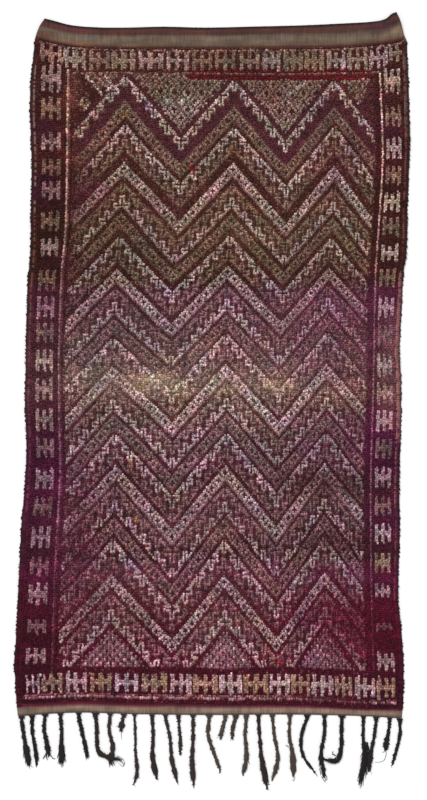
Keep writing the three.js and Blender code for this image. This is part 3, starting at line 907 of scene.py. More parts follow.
def woven_ground():
    across, x, y = ground_grid()
    lift = lift_at(x, y)
    thick = mix(FLATWEAVE_HEIGHT, GROUND_HEIGHT, pile_share(y, across))
    top = np.stack([x, y, lift + thick], -1).reshape(-1, 3)
    bottom = np.stack([x, y, lift], -1).reshape(-1, 3)
    rows, columns = x.shape
    count = rows * columns
    rim = np.concatenate([
        np.arange(columns),
        np.arange(1, rows) * columns + columns - 1,
        (rows - 1) * columns + np.arange(columns - 2, -1, -1),
        np.arange(rows - 2, -1, -1) * columns,
    ])[:-1]
    following = np.roll(rim, -1)
    sides = np.stack([rim + count, following + count, following, rim], axis=1)
    faces = np.concatenate([
        grid_faces(rows, columns),
        grid_faces(rows, columns, count, flip=True),
        sides,
    ])
    colours = linear(kilim_shades(across, x, y)).reshape(-1, 3)
    colours = np.tile(colours, (2, 1))
    return mesh_object("woven_ground", np.concatenate([top, bottom]), faces, colours)


# The pile: one lock of wool for each knot, leaning towards the fringed end.
# The knots' dyes, with painted shade in the lower halves of ladder diamonds, and how bulky each
# lock is.
KNOT_DYES_AND_PAINTED_SHADE, BULK = knot_colours(*np.meshgrid(np.arange(COLUMNS), np.arange(ROWS)))
STRIPS = 5
CORNERS = np.array([(-1, -1), (1, -1), (1, 1), (-1, 1)], float) / 2
LEAN = 0.52
ROOT_SHARE = 0.86
# The light wool is bulkier: how much wider, longer and higher its locks are.
BULK_WIDER = 0.06
BULK_LONGER = 0.15
BULK_HIGHER = 0.9
BULK_STEADIER = 0.4
# How much single locks differ: turn, size, place aside and down, height, height of a tip's corner.
LOCK_TURN = 0.24
LOCK_SIZE = 0.12
LOCK_SIZE_LIMITS = (0.7, 1.35)
LOCK_ASIDE = 0.17
LOCK_DOWN = 0.2
LOCK_HIGH = 0.6
TIP_HIGH = 0.35
LOWEST_TIP = 0.9
TIP_SLOPE = 1.2
ROOT_SUNK = 0.4
# Painted shade: lock roots are darker than their tips, as shade down among the locks, partly also
# the paler tips of worn wool.
ROOT_PAINTED_SHADE = 0.5
SHORTEST_ROW = 6
TIP_INNER = 0.42
CELL_EDGE = 0.04


def pile_strip(name, first, last):
    c, r = np.meshgrid(np.arange(first, last), np.arange(ROWS))
    c = c.ravel()
    r = r.ravel()
    count = len(c)
    x, y = knot_place(c, r)
    x_next, _ = knot_place(np.minimum(c + 0.5, COLUMNS - 0.5), r)
    x_last, _ = knot_place(c - 0.5, r)
    _, y_next = knot_place(c, np.minimum(r + 0.5, ROWS - 0.5))
    _, y_last = knot_place(c, np.maximum(r - 0.5, 0))
    wide = x_next - x_last
    long = np.maximum(y_last - y_next, SHORTEST_ROW)
    lift = lift_at(x, y)
    bulk = BULK[r, c]
    turn = random.normal(0, LOCK_TURN, count) * (1 - BULK_STEADIER * bulk)
    size = random.normal(1, LOCK_SIZE, (count, 2)).clip(*LOCK_SIZE_LIMITS)
    size *= 1 + bulk[:, None] * (BULK_WIDER, BULK_LONGER)
    aside = random.normal(0, LOCK_ASIDE, count) * wide
    down = -(LEAN + random.normal(0, LOCK_DOWN, count)) * long
    high = pile_top(x, y) - LOWEST_TIP + random.normal(0, LOCK_HIGH, count) + BULK_HIGHER * bulk
    tip = random.normal(0, TIP_HIGH, (count, 4))
    points = np.zeros((count, 8, 3))
    for k, (cx, cy) in enumerate(CORNERS):
        points[:, k, 0] = x + cx * wide * ROOT_SHARE
        points[:, k, 1] = y + cy * long * ROOT_SHARE
        points[:, k, 2] = lift + GROUND_HEIGHT - ROOT_SUNK
        dx = cx * wide * size[:, 0]
        dy = cy * long * size[:, 1]
        points[:, k + 4, 0] = x + aside + dx * np.cos(turn) - dy * np.sin(turn)
        points[:, k + 4, 1] = y + down + dx * np.sin(turn) + dy * np.cos(turn)
        points[:, k + 4, 2] = lift + high + tip[:, k] - TIP_SLOPE * (cy < 0)
    quads = np.array([
        (0, 1, 5, 4), (1, 2, 6, 5), (2, 3, 7, 6), (3, 0, 4, 7), (4, 5, 6, 7),
    ])
    faces = (np.arange(count)[:, None, None] * 8 + quads).reshape(-1, 4)
    dye_and_painted_shade = KNOT_DYES_AND_PAINTED_SHADE[r, c]
    # Painted shade: the four root corners of each lock are darker than its tip.
    shade = np.ones((count, 8, 1))
    shade[:, :4] = ROOT_PAINTED_SHADE
    colours = (dye_and_painted_shade[:, None, :] * shade).reshape(-1, 3)
    cells = math.ceil(math.sqrt(count))
    cell = np.stack([np.arange(count) % cells, np.arange(count) // cells], -1)
    outer = 0.5 + CORNERS * 2 * (0.5 - CELL_EDGE)
    inner = 0.5 + CORNERS * TIP_INNER
    spots = np.concatenate([outer, inner])[quads.ravel()]
    uv = (cell[:, None, :] + spots) / cells
    return mesh_object(name, points.reshape(-1, 3), faces, colours, uv.reshape(-1, 2))


# Cords and yarns: closed tubes, gathered into one mesh.
def spline(points, step):
    """A smooth curve through the points, with its places spaced evenly along it."""
    points = np.asarray(points, float)
    knots = np.vstack([2 * points[0] - points[1], points, 2 * points[-1] - points[-2]])
    t = np.linspace(0, 1, 20, endpoint=False)[:, None]
    dense = []
    for a, b, c, d in zip(knots, knots[1:], knots[2:], knots[3:]):
        first, middle, last = (math.sqrt(np.linalg.norm(v)) for v in (b - a, c - b, d - c))
        start = ((b - a) / first - (c - a) / (first + middle) + (c - b) / middle) * middle
        end = ((c - b) / middle - (d - b) / (middle + last) + (d - c) / last) * middle
        bend = (3 * (c - b) - 2 * start - end) * t**2 + (2 * (b - c) + start + end) * t**3
        dense.append(b + start * t + bend)
    dense = np.vstack([*dense, points[-1:]])
    run = np.concatenate([[0], np.cumsum(np.linalg.norm(np.diff(dense, axis=0), axis=1))])
    count = max(round(run[-1] / step), 3) + 1
    at = np.linspace(0, run[-1], count)
    return np.stack([np.interp(at, run, dense[:, k]) for k in range(dense.shape[1])], -1)


def ring_faces(rings, sides, flip=False):
    """Faces of a closed tube laid out ring by ring, its two ends included."""
    start = (np.arange(rings - 1) * sides)[:, None]
    k = np.arange(sides)
    after = (k + 1) % sides
    faces = np.stack([start + k, start + after, start + sides + after, start + sides + k], -1)
    faces = faces.reshape(-1, 4)
    cap = np.array([(0, j, j + 1, j + 2) for j in range(1, sides - 2, 2)])
    back = cap[:, [0, 3, 2, 1]]
    far = (rings - 1) * sides
    if flip:
        return np.concatenate([faces[:, ::-1], cap, back + far])
    return np.concatenate([faces, back, cap + far])


def tube(path, radius, sides=8, flat=1.0, lobes=0, depth=0.0, pitch=20.0, phase=0.0):
    """Points and faces of a closed tube. Lobes wind round it like the plies of a yarn."""
    path = np.asarray(path, float)
    radius = np.broadcast_to(np.asarray(radius, float), len(path))
    along = np.gradient(path, axis=0)
    run = np.concatenate([[0], np.cumsum(np.linalg.norm(np.diff(path, axis=0), axis=1))])
    aside = np.stack([along[:, 1], -along[:, 0], np.zeros(len(path))], -1)
    aside /= np.maximum(np.linalg.norm(aside, axis=1, keepdims=True), 1e-6)
    theta = 2 * math.pi * np.arange(sides) / sides
    turn = 2 * math.pi * run[:, None] / pitch + phase
    out = radius[:, None] * (1 + depth * np.cos(lobes * (theta - turn)))
    points = path[:, None, :] + aside[:, None, :] * (out * np.cos(theta))[..., None]
    points[..., 2] += out * np.sin(theta) * flat
    return points.reshape(-1, 3), ring_faces(len(path), sides)


FLOOR_CLEARANCE = 0.15


class Yarns:
    """Gathers tubes and their colours into one mesh."""

    def __init__(self):
        self.points = []
        self.faces = []
        self.colours = []
        self.count = 0

    def add(self, tube_mesh, shade, spread=0.08):
        points, faces = tube_mesh
        points[:, 2] = np.maximum(points[:, 2], FLOOR_CLEARANCE)
        self.points.append(points)
        self.faces.append(faces + self.count)
        light = 1 + random.normal(0, spread)
        colour = np.broadcast_to(linear(np.asarray(shade, float) * light), (len(points), 3))
        self.colours.append(colour)
        self.count += len(points)

    def build(self, name):
        points = np.concatenate(self.points)
        faces = np.concatenate(self.faces)
        return mesh_object(name, points, faces, np.concatenate(self.colours))


STRAND_WIDER = 1.06
STRAND_HALF_HEIGHT = 4.4
STRAND_FLAT = 0.5
STRAND_REST = 1.12
STRAND_CLOUDS = ((0.2, 4.5, 1, 51),)
STRAND_WAVE = 0.12
STRAND_WAVE_LENGTH = 9
LOOSE_WIDTH = 0.86
YARN_SPREAD = 0.15
ROOT_FLARE = 0.9
FLARE_RUN = 14.0
LOOSE = (0.45, 0.75)
TIP_FROM = 0.85
STRAND_TIP = 0.3
CROSSING_LIFT = 5.5
CROSSING_TOP = 0.06
CROSSING_RAMP = 0.08
STRAND_STEP = 3.2
BLACK = (33, 29, 30)
BROWN = (50, 42, 40)
GREY = (68, 58, 52)

# Root, third, two thirds, tip, drop, width, loosened end's width, yarn.
STRANDS = [
    (-864, 7, 22, 33, 228, 16, 1.8, BLACK),
    (-817, 1, 15, 23, 228, 14, 1.3, BLACK),
    (-758, -5, 7, 19, 191, 14, 1.6, BLACK),
    (-688, 5, 5, 10, 226, 15, 1.8, BLACK),
    (-605, 11, 26, 41, 200, 15, 1.3, BLACK),
    (-528, 5, 6, 17, 180, 16, 1.55, BROWN),
    (-462, -5, 12, 4, 226, 14, 1.5, BROWN),
    (-400, -4, -9, -11, 66, 12, 1.9, BROWN),
    (-351, 4, 5, 12, 266, 10, 1.6, BROWN),
    (-271, 5, 2, 21, 296, 14, 1.7, BROWN),
    (-210, 20, 29, 55, 309, 13, 1.7, BROWN),
    (-151, 4, 8, 9, 176, 11, 1.4, BROWN),
    (-85, 0, -4, 4, 323, 15, 1.6, BROWN),
    (-11, -6, 20, 51, 255, 15, 1.1, GREY),
    (62, -6, -14, -22, 102, 13, 1.3, GREY),
    (109, -7, -15, -15, 105, 13, 1.3, GREY),
    (157, -5, 1, -15, 278, 14, 1.5, GREY),
    (213, 6, 17, 41, 341, 14, 1.8, BROWN),
    (276, 10, 25, -2, 303, 13, 1.5, GREY),
    (356, -3, 13, 15, 282, 13, 2.1, GREY),
    (434, -25, -21, 37, 266, 14, 1.0, BLACK),
    (513, -1, -16, 3, 273, 14, 1.4, BLACK),
    (592, -2, -3, -20, 204, 16, 1.4, BLACK),
    (690, -1, 2, -18, 305, 13, 1.8, BLACK),
    (748, -8, -24, -34, 250, 13, 1.8, BLACK),
    (809, -3, -12, -20, 150, 12, 2.2, BLACK),
    (855, 2, -13, -33, 207, 13, 1.1, BLACK),
]
# Tips that turn aside, by root: how far aside, how far down, where it passes over another.
HOOKED = {-528: (95, 36, 0.86), -351: (-18, 57, 0), 592: (-66, -6, 0.97)}
FRAY_COUNT = 14
SPUR_COUNT = 40
SPUR_RADII = (2.2, 1.7, 0.7)
SPUR_ASIDE = (1.2, 5.5)
SPUR_AHEAD = (1, 9)
FRAY_RADII = (1.3, 0.45)
FRAY_REACH = (8, 26)
FRAY_SHORTEST = 5
FRAY_FROM = 0.55
FRAY_TURN = 0.28
FRAY_ASIDE = 0.5
FRAY_SHORTER = 0.6
FRAY_CURL = 0.5
FRAY_WANDER = 0.12
# Frays before this share of a strand are shorter and turn aside more.
FRAY_END = 0.9
# No fray reaches further down than this.
FRINGE_LOWEST = -1770
STRAND_SIDES = 10


def edge_point(x, table):
    """The fringed edge, or another line across, at a place across the rug."""
    corner = FRINGED_EDGE[0][1]
    left = left_at(corner)
    return read(table, (x - left) / (right_at(corner) - left))


def strand_path(root, third, two_thirds, tip, drop, hook, hook_drop):
    top = edge_point(root, FRINGED_EDGE) - PARTING_GAP - END_CORD_WIDTH / 2
    places = [
        (0, 0), (0, FLARE_RUN), (third, drop / 3), (two_thirds, drop * 2 / 3), (tip, drop),
    ]
    if hook:
        places.append((tip + hook, drop + hook_drop))
    return spline([(root + aside, top - down, 0) for aside, down in places], STRAND_STEP)


def direction(angle):
    return np.array([math.cos(angle), math.sin(angle)])


def aside_of(angle):
    return np.array([-math.sin(angle), math.cos(angle)])


def add_spurs(yarns, path, radius, heading, shade):
    """Short thick yarns standing out of a strand."""
    for _ in range(SPUR_COUNT):
        i = random.integers(2, len(path) - 1)
        across = random.choice((-1, 1)) * aside_of(heading[i])
        start = path[i, :2] + across * radius[i] * 0.6
        aside = 0.4 * radius[i] + random.uniform(*SPUR_ASIDE)
        end = start + across * aside + direction(heading[i]) * random.uniform(*SPUR_AHEAD)
        high = path[i, 2]
        spur = [(*start, high), (*mix(start, end, 0.5), high * 0.9), (*end, high * 0.7)]
        yarns.add(tube(spur, SPUR_RADII, 4), shade, YARN_SPREAD)


def add_frays(yarns, path, radius, heading, shade):
    """Thin hairs coming loose, most of them near a strand's tip."""
    for _ in range(FRAY_COUNT):
        share = random.uniform(FRAY_FROM, 1.0) ** 0.7
        i = min(int(share * (len(path) - 1)), len(path) - 1)
        turned = random.normal(0, FRAY_TURN)
        turned += FRAY_ASIDE * random.choice((-1, 1)) * (share < FRAY_END)
        angle = heading[i] + turned
        reach = random.uniform(*FRAY_REACH) * (FRAY_SHORTER if share < FRAY_END else 1)
        reach = min(reach, (path[i, 1] - FRINGE_LOWEST) * 0.9)
        if reach < FRAY_SHORTEST:
            continue
        curl = random.normal(0, FRAY_CURL)
        aside = random.uniform(-0.7, 0.7) * radius[i]
        points = [path[i, :2] + aside * aside_of(heading[i])]
        for _ in range(3):
            points.append(points[-1] + reach / 3 * direction(angle))
            angle += curl / 3 + random.normal(0, FRAY_WANDER)
        rise = np.linspace(min(path[i, 2], 3.0), 0.8, 4)
        hair = spline(np.column_stack([points, rise]), max(reach / 4, 3))
        yarns.add(tube(hair, np.linspace(*FRAY_RADII, len(hair)), 4), shade, YARN_SPREAD)


def strand(yarns, root, third, two_thirds, tip, drop, width, end, shade):
    hook, hook_drop, over = HOOKED.get(root, (0, 0, 0))
    path = strand_path(root, third, two_thirds, tip, drop, hook, hook_drop)
    t = np.linspace(0, 1, len(path))
    down = t * STRAND_STEP * (len(path) - 1)
    flare = 1 + ROOT_FLARE * smooth(1 - down / FLARE_RUN)
    loose = smooth((t - LOOSE[0]) / (LOOSE[1] - LOOSE[0]))
    taper = mix(1, STRAND_TIP, smooth((t - TIP_FROM) / (1 - TIP_FROM)))
    lumps = 1 + STRAND_WAVE * np.sin(down / STRAND_WAVE_LENGTH + root)
    lumps = mottle(down, root, STRAND_CLOUDS, lumps)
    radius = STRAND_WIDER * width / 2 * flare * mix(1, end * LOOSE_WIDTH, loose) * taper * lumps
    flat = np.minimum(STRAND_FLAT, STRAND_HALF_HEIGHT / radius)
    crossing = np.zeros(len(path))
    if over:
        crossing = CROSSING_LIFT * smooth(1 - (np.abs(t - over) - CROSSING_TOP) / CROSSING_RAMP)
    path[:, 2] = np.maximum(radius * flat, 1.0) * STRAND_REST + crossing
    twisted = {"lobes": 3, "depth": 0.15, "pitch": 26, "phase": root}
    yarns.add(tube(path, radius, STRAND_SIDES, flat[:, None], **twisted), shade)
    along = np.gradient(path, axis=0)
    heading = np.arctan2(along[:, 1], along[:, 0])
    add_spurs(yarns, path, radius, heading, shade)
    add_frays(yarns, path, radius, heading, shade)


# Thin wisps, threads and small loops at the ends: yarn, radius, then points along each.
WISPS = [
    (BLACK, 3.0, [(-744, -1590), (-756, -1602), (-768, -1620)]),
    (BLACK, 2.4, [(-750, -1600), (-752, -1612), (-746, -1626)]),
    (BLACK, 2.6, [(-742, -1592), (-732, -1604), (-722, -1618), (-712, -1618)]),
    (BROWN, 2.0, [(-436, -1612), (-420, -1618), (-404, -1640), (-398, -1652)]),
    (BROWN, 1.4, [(-430, -1606), (-408, -1620), (-396, -1640), (-404, -1654), (-424, -1640)]),
    (BROWN, 2.4, [(-452, -1626), (-446, -1640), (-440, -1650)]),
    (BROWN, 1.1, [(-411, -1490), (-411, -1510), (-409, -1533)]),
    (BROWN, 1.2, [(-416, -1482), (-428, -1474), (-436, -1470)]),
    (BROWN, 1.4, [(-338, -1690), (-330, -1704), (-326, -1708)]),
    (GREY, 1.8, [(166, -1628), (170, -1640), (174, -1644)]),
    (BROWN, 1.5, [(256, -1736), (262, -1738), (266, -1735)]),
    (GREY, 1.2, [(374, -1690), (378, -1706), (372, -1722), (368, -1712)]),
    (GREY, 2.2, [(350, -1566), (342, -1560), (336, -1558)]),
    (BLACK, 1.3, [(508, -1690), (522, -1702), (524, -1716), (512, -1718), (504, -1706)]),
    (BLACK, 1.6, [(500, -1700), (508, -1714), (518, -1728)]),
    (BLACK, 2.2, [(560, -1604), (550, -1596), (552, -1584)]),
    (BLACK, 1.6, [(566, -1606), (556, -1600), (546, -1602)]),
    (BLACK, 1.5, [(790, -1570), (794, -1596), (792, -1608)]),
    (BLACK, 1.0, [(792, -1606), (786, -1624), (768, -1634), (742, -1636)]),
    (BLACK, 0.9, [(716, -1640), (722, -1668), (728, -1692)]),
    (BLACK, 0.9, [(722, -1636), (726, -1656), (722, -1672)]),
]
# Tied knots: yarn, x, y, size.
TIED_KNOTS = [
    (BROWN, -411, -1488, 8.0), (BROWN, -143, -1598, 6.5),
    (GREY, 41, -1526, 6.5), (GREY, 94, -1526, 6.5), (GREY, 88, -1502, 5.5),
    (BLACK, 790, -1566, 8.5),
]
# Frayed ends: yarn, from x, y to x, y, half the width, how many short yarns.
TASSELS = [
    (BLACK, -851, -1550, -833, -1655, 17, 46), (BLACK, -801, -1560, -794, -1655, 9, 24),
    (BLACK, -746, -1550, -748, -1600, 9, 14), (BLACK, -685, -1555, -681, -1655, 18, 50),
    (BLACK, -580, -1540, -562, -1630, 11, 30), (BROWN, -462, -1590, -458, -1658, 13, 26),
    (BROWN, -409, -1472, -411, -1500, 10, 12), (BROWN, -351, -1560, -334, -1690, 6, 20),
    (BROWN, -266, -1600, -246, -1712, 8, 26), (BROWN, -186, -1620, -158, -1725, 7, 22),
    (BROWN, -88, -1600, -82, -1738, 8, 26), (GREY, 150, -1590, 160, -1650, 8, 14),
    (BROWN, 236, -1610, 256, -1750, 8, 28), (GREY, 302, -1580, 288, -1690, 7, 20),
    (GREY, 362, -1575, 372, -1695, 10, 30), (BLACK, 500, -1560, 492, -1660, 10, 30),
    (BLACK, 492, -1650, 518, -1715, 12, 22), (BLACK, 586, -1585, 556, -1640, 11, 22),
    (BLACK, 704, -1540, 700, -1690, 24, 120), (BLACK, 702, -1600, 676, -1745, 17, 50),
    (BLACK, 797, -1520, 790, -1580, 8, 18), (BLACK, 846, -1560, 826, -1640, 5, 14),
]


KNOT_LOOP = 0.42
KNOT_YARN = 0.36


def knot(yarns, shade, x, y, size):
    """A small overhand knot: a yarn wound through itself."""
    t = np.linspace(0, 2 * math.pi, 26)
    path = np.column_stack([
        x + size * KNOT_LOOP * (np.sin(t) + 2 * np.sin(2 * t)) / 2,
        y + size * KNOT_LOOP * (np.cos(t) - 2 * np.cos(2 * t)) / 2,
        size * (0.55 - 0.22 * np.sin(3 * t)),
    ])
    yarns.add(tube(path, size * KNOT_YARN, 8), shade)


# How wide a frayed end is, as a share of its width, along its length.
TASSEL_WIDTH = ((0, 0.3, 0.55, 0.74), (0.55, 1.15, 0.85, 0.2))
TASSEL_REACH = (0.16, 0.4)
TASSEL_HIGH = (1.4, 7)
TASSEL_RADII = (2.0, 0.6)
CORD_THIN = 0.42
CORD_THIN_RUN = 20.0
CORD_YARN = (86, 74, 66)
CORD_PLACE = -1428
CORD_INSETS = (4, 7)
CORD_STEP = 3.0


def tassel(yarns, shade, x0, y0, x1, y1, half, count):
    """A frayed end: short yarns fanning out along a line."""
    for _ in range(count):
        share = random.uniform(0, TASSEL_WIDTH[0][-1])
        x = mix(x0, x1, share)
        y = mix(y0, y1, share)
        reach = random.uniform(*TASSEL_REACH) * (y0 - y1)
        aside = random.uniform(-1, 1) * half * np.interp(share, *TASSEL_WIDTH)
        drift = (x1 - x0) * reach / (y0 - y1)
        high = random.uniform(*TASSEL_HIGH)
        points = [
            (x + 0.5 * aside, y, high), (x + 0.85 * aside + drift / 2, y - reach / 2, 0.8 * high),
            (x + 1.15 * aside + drift, y - reach, 1.2),
        ]
        path = spline(points, 7.0)
        radii = np.linspace(*TASSEL_RADII, len(path))
        yarns.add(tube(path, radii, 4, 0.8), shade, YARN_SPREAD)


def fringe():
    yarns = Yarns()
    for row in STRANDS:
        strand(yarns, *row)
    for shade, radius, points in WISPS:
        path = spline([(x, y, radius + 0.4) for x, y in points], 3.0)
        yarns.add(tube(path, np.linspace(radius, radius * 0.5, len(path)), 6, 0.8), shade)
    for shade, x, y, size in TIED_KNOTS:
        knot(yarns, shade, x, y, size)
    for row in TASSELS:
        tassel(yarns, *row)
    first = left_at(CORD_PLACE) + CORD_INSETS[0]
    x = np.arange(first, right_at(CORD_PLACE) - CORD_INSETS[1], CORD_STEP)
    from_strand = np.min([np.abs(x - row[0]) for row in STRANDS], 0)
    radius = END_CORD_WIDTH / 2 * mix(1, CORD_THIN, smooth(from_strand / CORD_THIN_RUN))
    y = edge_point(x, FRINGED_EDGE) - PARTING_GAP - radius
    path = np.column_stack([x, y, np.full(len(x), END_CORD_HEIGHT / 2)])
    yarns.add(tube(path, radius, 8, 0.8, lobes=2, depth=0.14, pitch=15), CORD_YARN)
    return yarns.build("fringe_cords")


# The overcast sides, the rolled hem and the loose threads of the hemmed end.
WRAP_PITCH = 10.0
WRAP_STEP = 2.5
WRAP_HEIGHT = 2.7
WRAP_RELIEF = 0.7
WRAP_SIDES = 12
WANDER = 1.3
# Wraps standing out of the sides: how far, and how long each is along the side.
SPIKE = 4.0
SPIKE_LENGTH = 6.5
FIBRE_COUNT = 90
# Broken lines of stitching along them: degrees up from the inner side, from and to which place
# along the rug, shade, strength.
LEFT_STITCHES = [
    (48, 1560, 870, 164, 154, 146, 0.95), (48, 870, 380, 150, 124, 88, 0.75),
    (58, 380, -500, 150, 88, 104, 0.55),
]
RIGHT_STITCHES = [
    (40, 1600, 1200, 150, 132, 122, 0.85), (86, 1640, 1200, 104, 92, 84, 0.7),
    (45, 1240, 600, 156, 110, 98, 0.7), (38, 600, -500, 190, 134, 124, 0.9),
    (76, 600, -160, 178, 126, 116, 0.8), (112, 560, -200, 150, 104, 96, 0.6),
    (45, -500, -900, 176, 100, 112, 0.6),
]
STITCH_REACH = math.radians(38)
WANDER_CLOUDS = ((1, 34, 1, 41), (0.5, 11, 1, 42))
SIDE_CLOUDS = ((0.25, 14, 1, 13), (0.2, 5, 1, 19))
HEM_CLOUDS = ((0.5, 17, 1, 43), (0.3, 6, 1, 44))
HEM_RADIUS = 2.1
HEM_INSET = 1.9
SWELL_CLOUDS = ((0.07, 25, 1, 12),)
SIDE_INSET = 4
SIDE_TUCK = 0.6
WRAP_DRIFT = 3.0
WRAP_SLANT = 2.5
# Painted shade in the grooves between the wraps and painted light on their crests: mean
# brightness, then its swing.
WRAP_PAINTED_SHADE = (0.92, 0.14)
SIDE_DYE_LIMITS = (6, 240)
OUTER_FROM = math.radians(80)
OUTER_RUN = math.radians(60)
FIBRE_PLACES = (-1370, 1600)
FIBRE_REACH = (5, 12)
FIBRE_RISE = (1.5, 4.5)
FIBRE_RADII = (1.7, 0.6)
# The outer side of the overcasting is darker and less red.
OUTER_SIDE = (38, 26, 27)
OUTER_SHARE = 0.6


def selvedge(name, edge, inward, table_start, table_end, stitches, gain):
    start = table_start[1] + SIDE_INSET
    end = table_end[1] - SIDE_INSET
    y = np.arange(start, end, -WRAP_STEP)
    x = edge(y) + inward * (SELVEDGE_WIDTH / 2 - SIDE_TUCK)
    x = x + WANDER * mottle(x, y, WANDER_CLOUDS) * (inward + 0.001)
    theta = 2 * math.pi * np.arange(WRAP_SIDES) / WRAP_SIDES
    drift = WRAP_DRIFT * clouds(x, y, 60, 11)
    slant = WRAP_SLANT * np.cos(theta)
    turn = 2 * math.pi * (y[:, None] + drift[:, None] + slant) / WRAP_PITCH
    swell = mottle(x, y, SWELL_CLOUDS, 1)[:, None]
    relief = WRAP_RELIEF * np.cos(turn)
    out = (SELVEDGE_WIDTH / 2 + relief) * np.cos(theta) * swell
    spike = SPIKE * smooth(1.6 * clouds(0 * y, y, SPIKE_LENGTH, 17))
    out = out - inward * spike[:, None] * np.clip(-inward * np.cos(theta), 0, 1)
    lift = lift_at(x, y)[:, None]
    points = np.stack([
        x[:, None] + out,
        np.broadcast_to(y[:, None], out.shape),
        lift + WRAP_HEIGHT + (WRAP_HEIGHT + relief * (np.sin(theta) > 0)) * np.sin(theta),
    ], -1)
    count = len(y)
    from_inside = theta if inward > 0 else math.pi - theta
    shade = dye_at(SIDE_GROUND, y) * np.array(gain)
    shade = stained(shade, x, y) * mottle(x, y, SIDE_CLOUDS, 1)[:, None]
    shade = np.broadcast_to(shade[:, None, :], (count, WRAP_SIDES, 3))
    outer = smooth((from_inside - OUTER_FROM) / OUTER_RUN)
    shade = mix(shade, np.array(OUTER_SIDE, float), (OUTER_SHARE * outer)[None, :, None])
    for degrees, top, bottom, *colour, strength in stitches:
        near = smooth(1 - np.abs(from_inside - math.radians(degrees)) / STITCH_REACH)
        broken = smooth(1.5 * clouds(x, y, 9, degrees) + 0.8) * (y < top) * (y > bottom)
        share = strength * broken[:, None] * near
        shade = mix(shade, np.array(colour, float), share[..., None])
    # Painted shade and light: the yarn is darker in the grooves between wraps and lighter on their
    # crests.
    shade = shade * (WRAP_PAINTED_SHADE[0] + WRAP_PAINTED_SHADE[1] * np.cos(turn))[..., None]
    colours = linear(np.clip(shade, *SIDE_DYE_LIMITS)).reshape(-1, 3)
    faces = ring_faces(count, WRAP_SIDES, flip=True)
    return mesh_object(name, points.reshape(-1, 3), faces, colours)


def loose_fibres():
    """Short ends of yarn standing out of the overcast sides."""
    yarns = Yarns()
    for edge, out in ((left_at, -1), (right_at, 1)):
        for y in random.uniform(*FIBRE_PLACES, FIBRE_COUNT):
            x = edge(y) - out * 4
            reach = random.uniform(*FIBRE_REACH)
            rise = lift_at(x, y) + random.uniform(*FIBRE_RISE)
            fall = random.normal(0, 3, 2)
            points = [
                (x, y, rise), (x + out * reach / 2, y + fall[0] / 2, rise),
                (x + out * reach, y + fall.sum() / 2, max(rise - 2, 1)),
            ]
            shade = dye_at(SIDE_GROUND, y) * random.choice((0.8, 1.0, 1.6), p=(0.5, 0.3, 0.2))
            path = spline(points, 4.0)
            yarns.add(tube(path, np.linspace(*FIBRE_RADII, len(path)), 4), shade, 0.1)
    return yarns.build("loose_fibres")


HEM_YARN = (46, 31, 29)
THREAD = (150, 118, 92)
THREADS = [
    [(812, 1620), (836, 1630), (858, 1636), (874, 1648)], [(868, 1676), (876, 1660), (880, 1640)],
]
THREAD_RADIUS = 1.3


def hem():
    yarns = Yarns()
    across = np.linspace(0.004, 0.996, 120)
    y = read(HEMMED_EDGE, across) - HEM_INSET
    x = mix(left_at(y), right_at(y), across)
    high = lift_at(x, y) + FLATWEAVE_HEIGHT / 2 + 0.2
    path = spline(np.column_stack([x, y, high]), 4.0)
    lumps = mottle(path[:, 0], path[:, 1], HEM_CLOUDS, HEM_RADIUS)
    path[:, 2] = np.maximum(path[:, 2], lumps + 0.1)
    yarns.add(tube(path, lumps, 8, lobes=2, depth=0.08, pitch=18), HEM_YARN)
    for points in THREADS:
        path = spline([(a, b, 0) for a, b in points], 3.0)
        path[:, 2] = lift_at(path[:, 0], path[:, 1]) + PILE_HEIGHT - 1.5
        yarns.add(tube(path, THREAD_RADIUS, 6), THREAD)
    return yarns.build("hem_cord")


# Materials.
def node_material(name):
    material = bpy.data.materials.new(name)
    material.use_nodes = True
    return material, material.node_tree.nodes["Principled BSDF"]


def add_node(material, kind, inputs, **settings):
    """Adds a node whose inputs are given a value, or linked to another node's output."""
    node = material.node_tree.nodes.new("ShaderNode" + kind)
    for name, value in settings.items():
        setattr(node, name, value)
    for name, value in inputs.items():
        fill(material, node.inputs[name], value)
    return node


def fill(material, socket, value):
    if isinstance(value, bpy.types.NodeSocket):
        material.node_tree.links.new(value, socket)
    else:
        socket.default_value = value


def noise(material, place, scale, detail):
    inputs = {"Scale": scale, "Detail": detail, "Vector": place}
    return add_node(material, "TexNoise", inputs).outputs["Fac"]


def brought(material, factor, low, high, start=0.0, end=1.0):
    """A factor between start and end, brought between low and high."""
    limits = {"From Min": start, "From Max": end, "To Min": low, "To Max": high}
    return add_node(material, "MapRange", {"Value": factor, **limits}).outputs["Result"]


def toned(material, colour, factor):
    inputs = {0: colour, "Scale": factor}
    return add_node(material, "VectorMath", inputs, operation="SCALE").outputs["Vector"]


FIBRE_TONE = (0.72, 1.28)
WOOL_ROUGHNESS = (0.82, 0.98)
WOOL_RELIEF = {"Strength": 0.25, "Distance": 0.001}
RIB_RELIEF = {"Strength": 0.5, "Distance": 0.0012}
# Streaks in the flat weave, upright and across: scale along x, y and z, darkest, lightest.
WEAVE_STREAKS = [((160, 16, 1), 0.7, 1.3), ((9, 150, 1), 0.82, 1.18)]
RIB_SCALE = 62.0


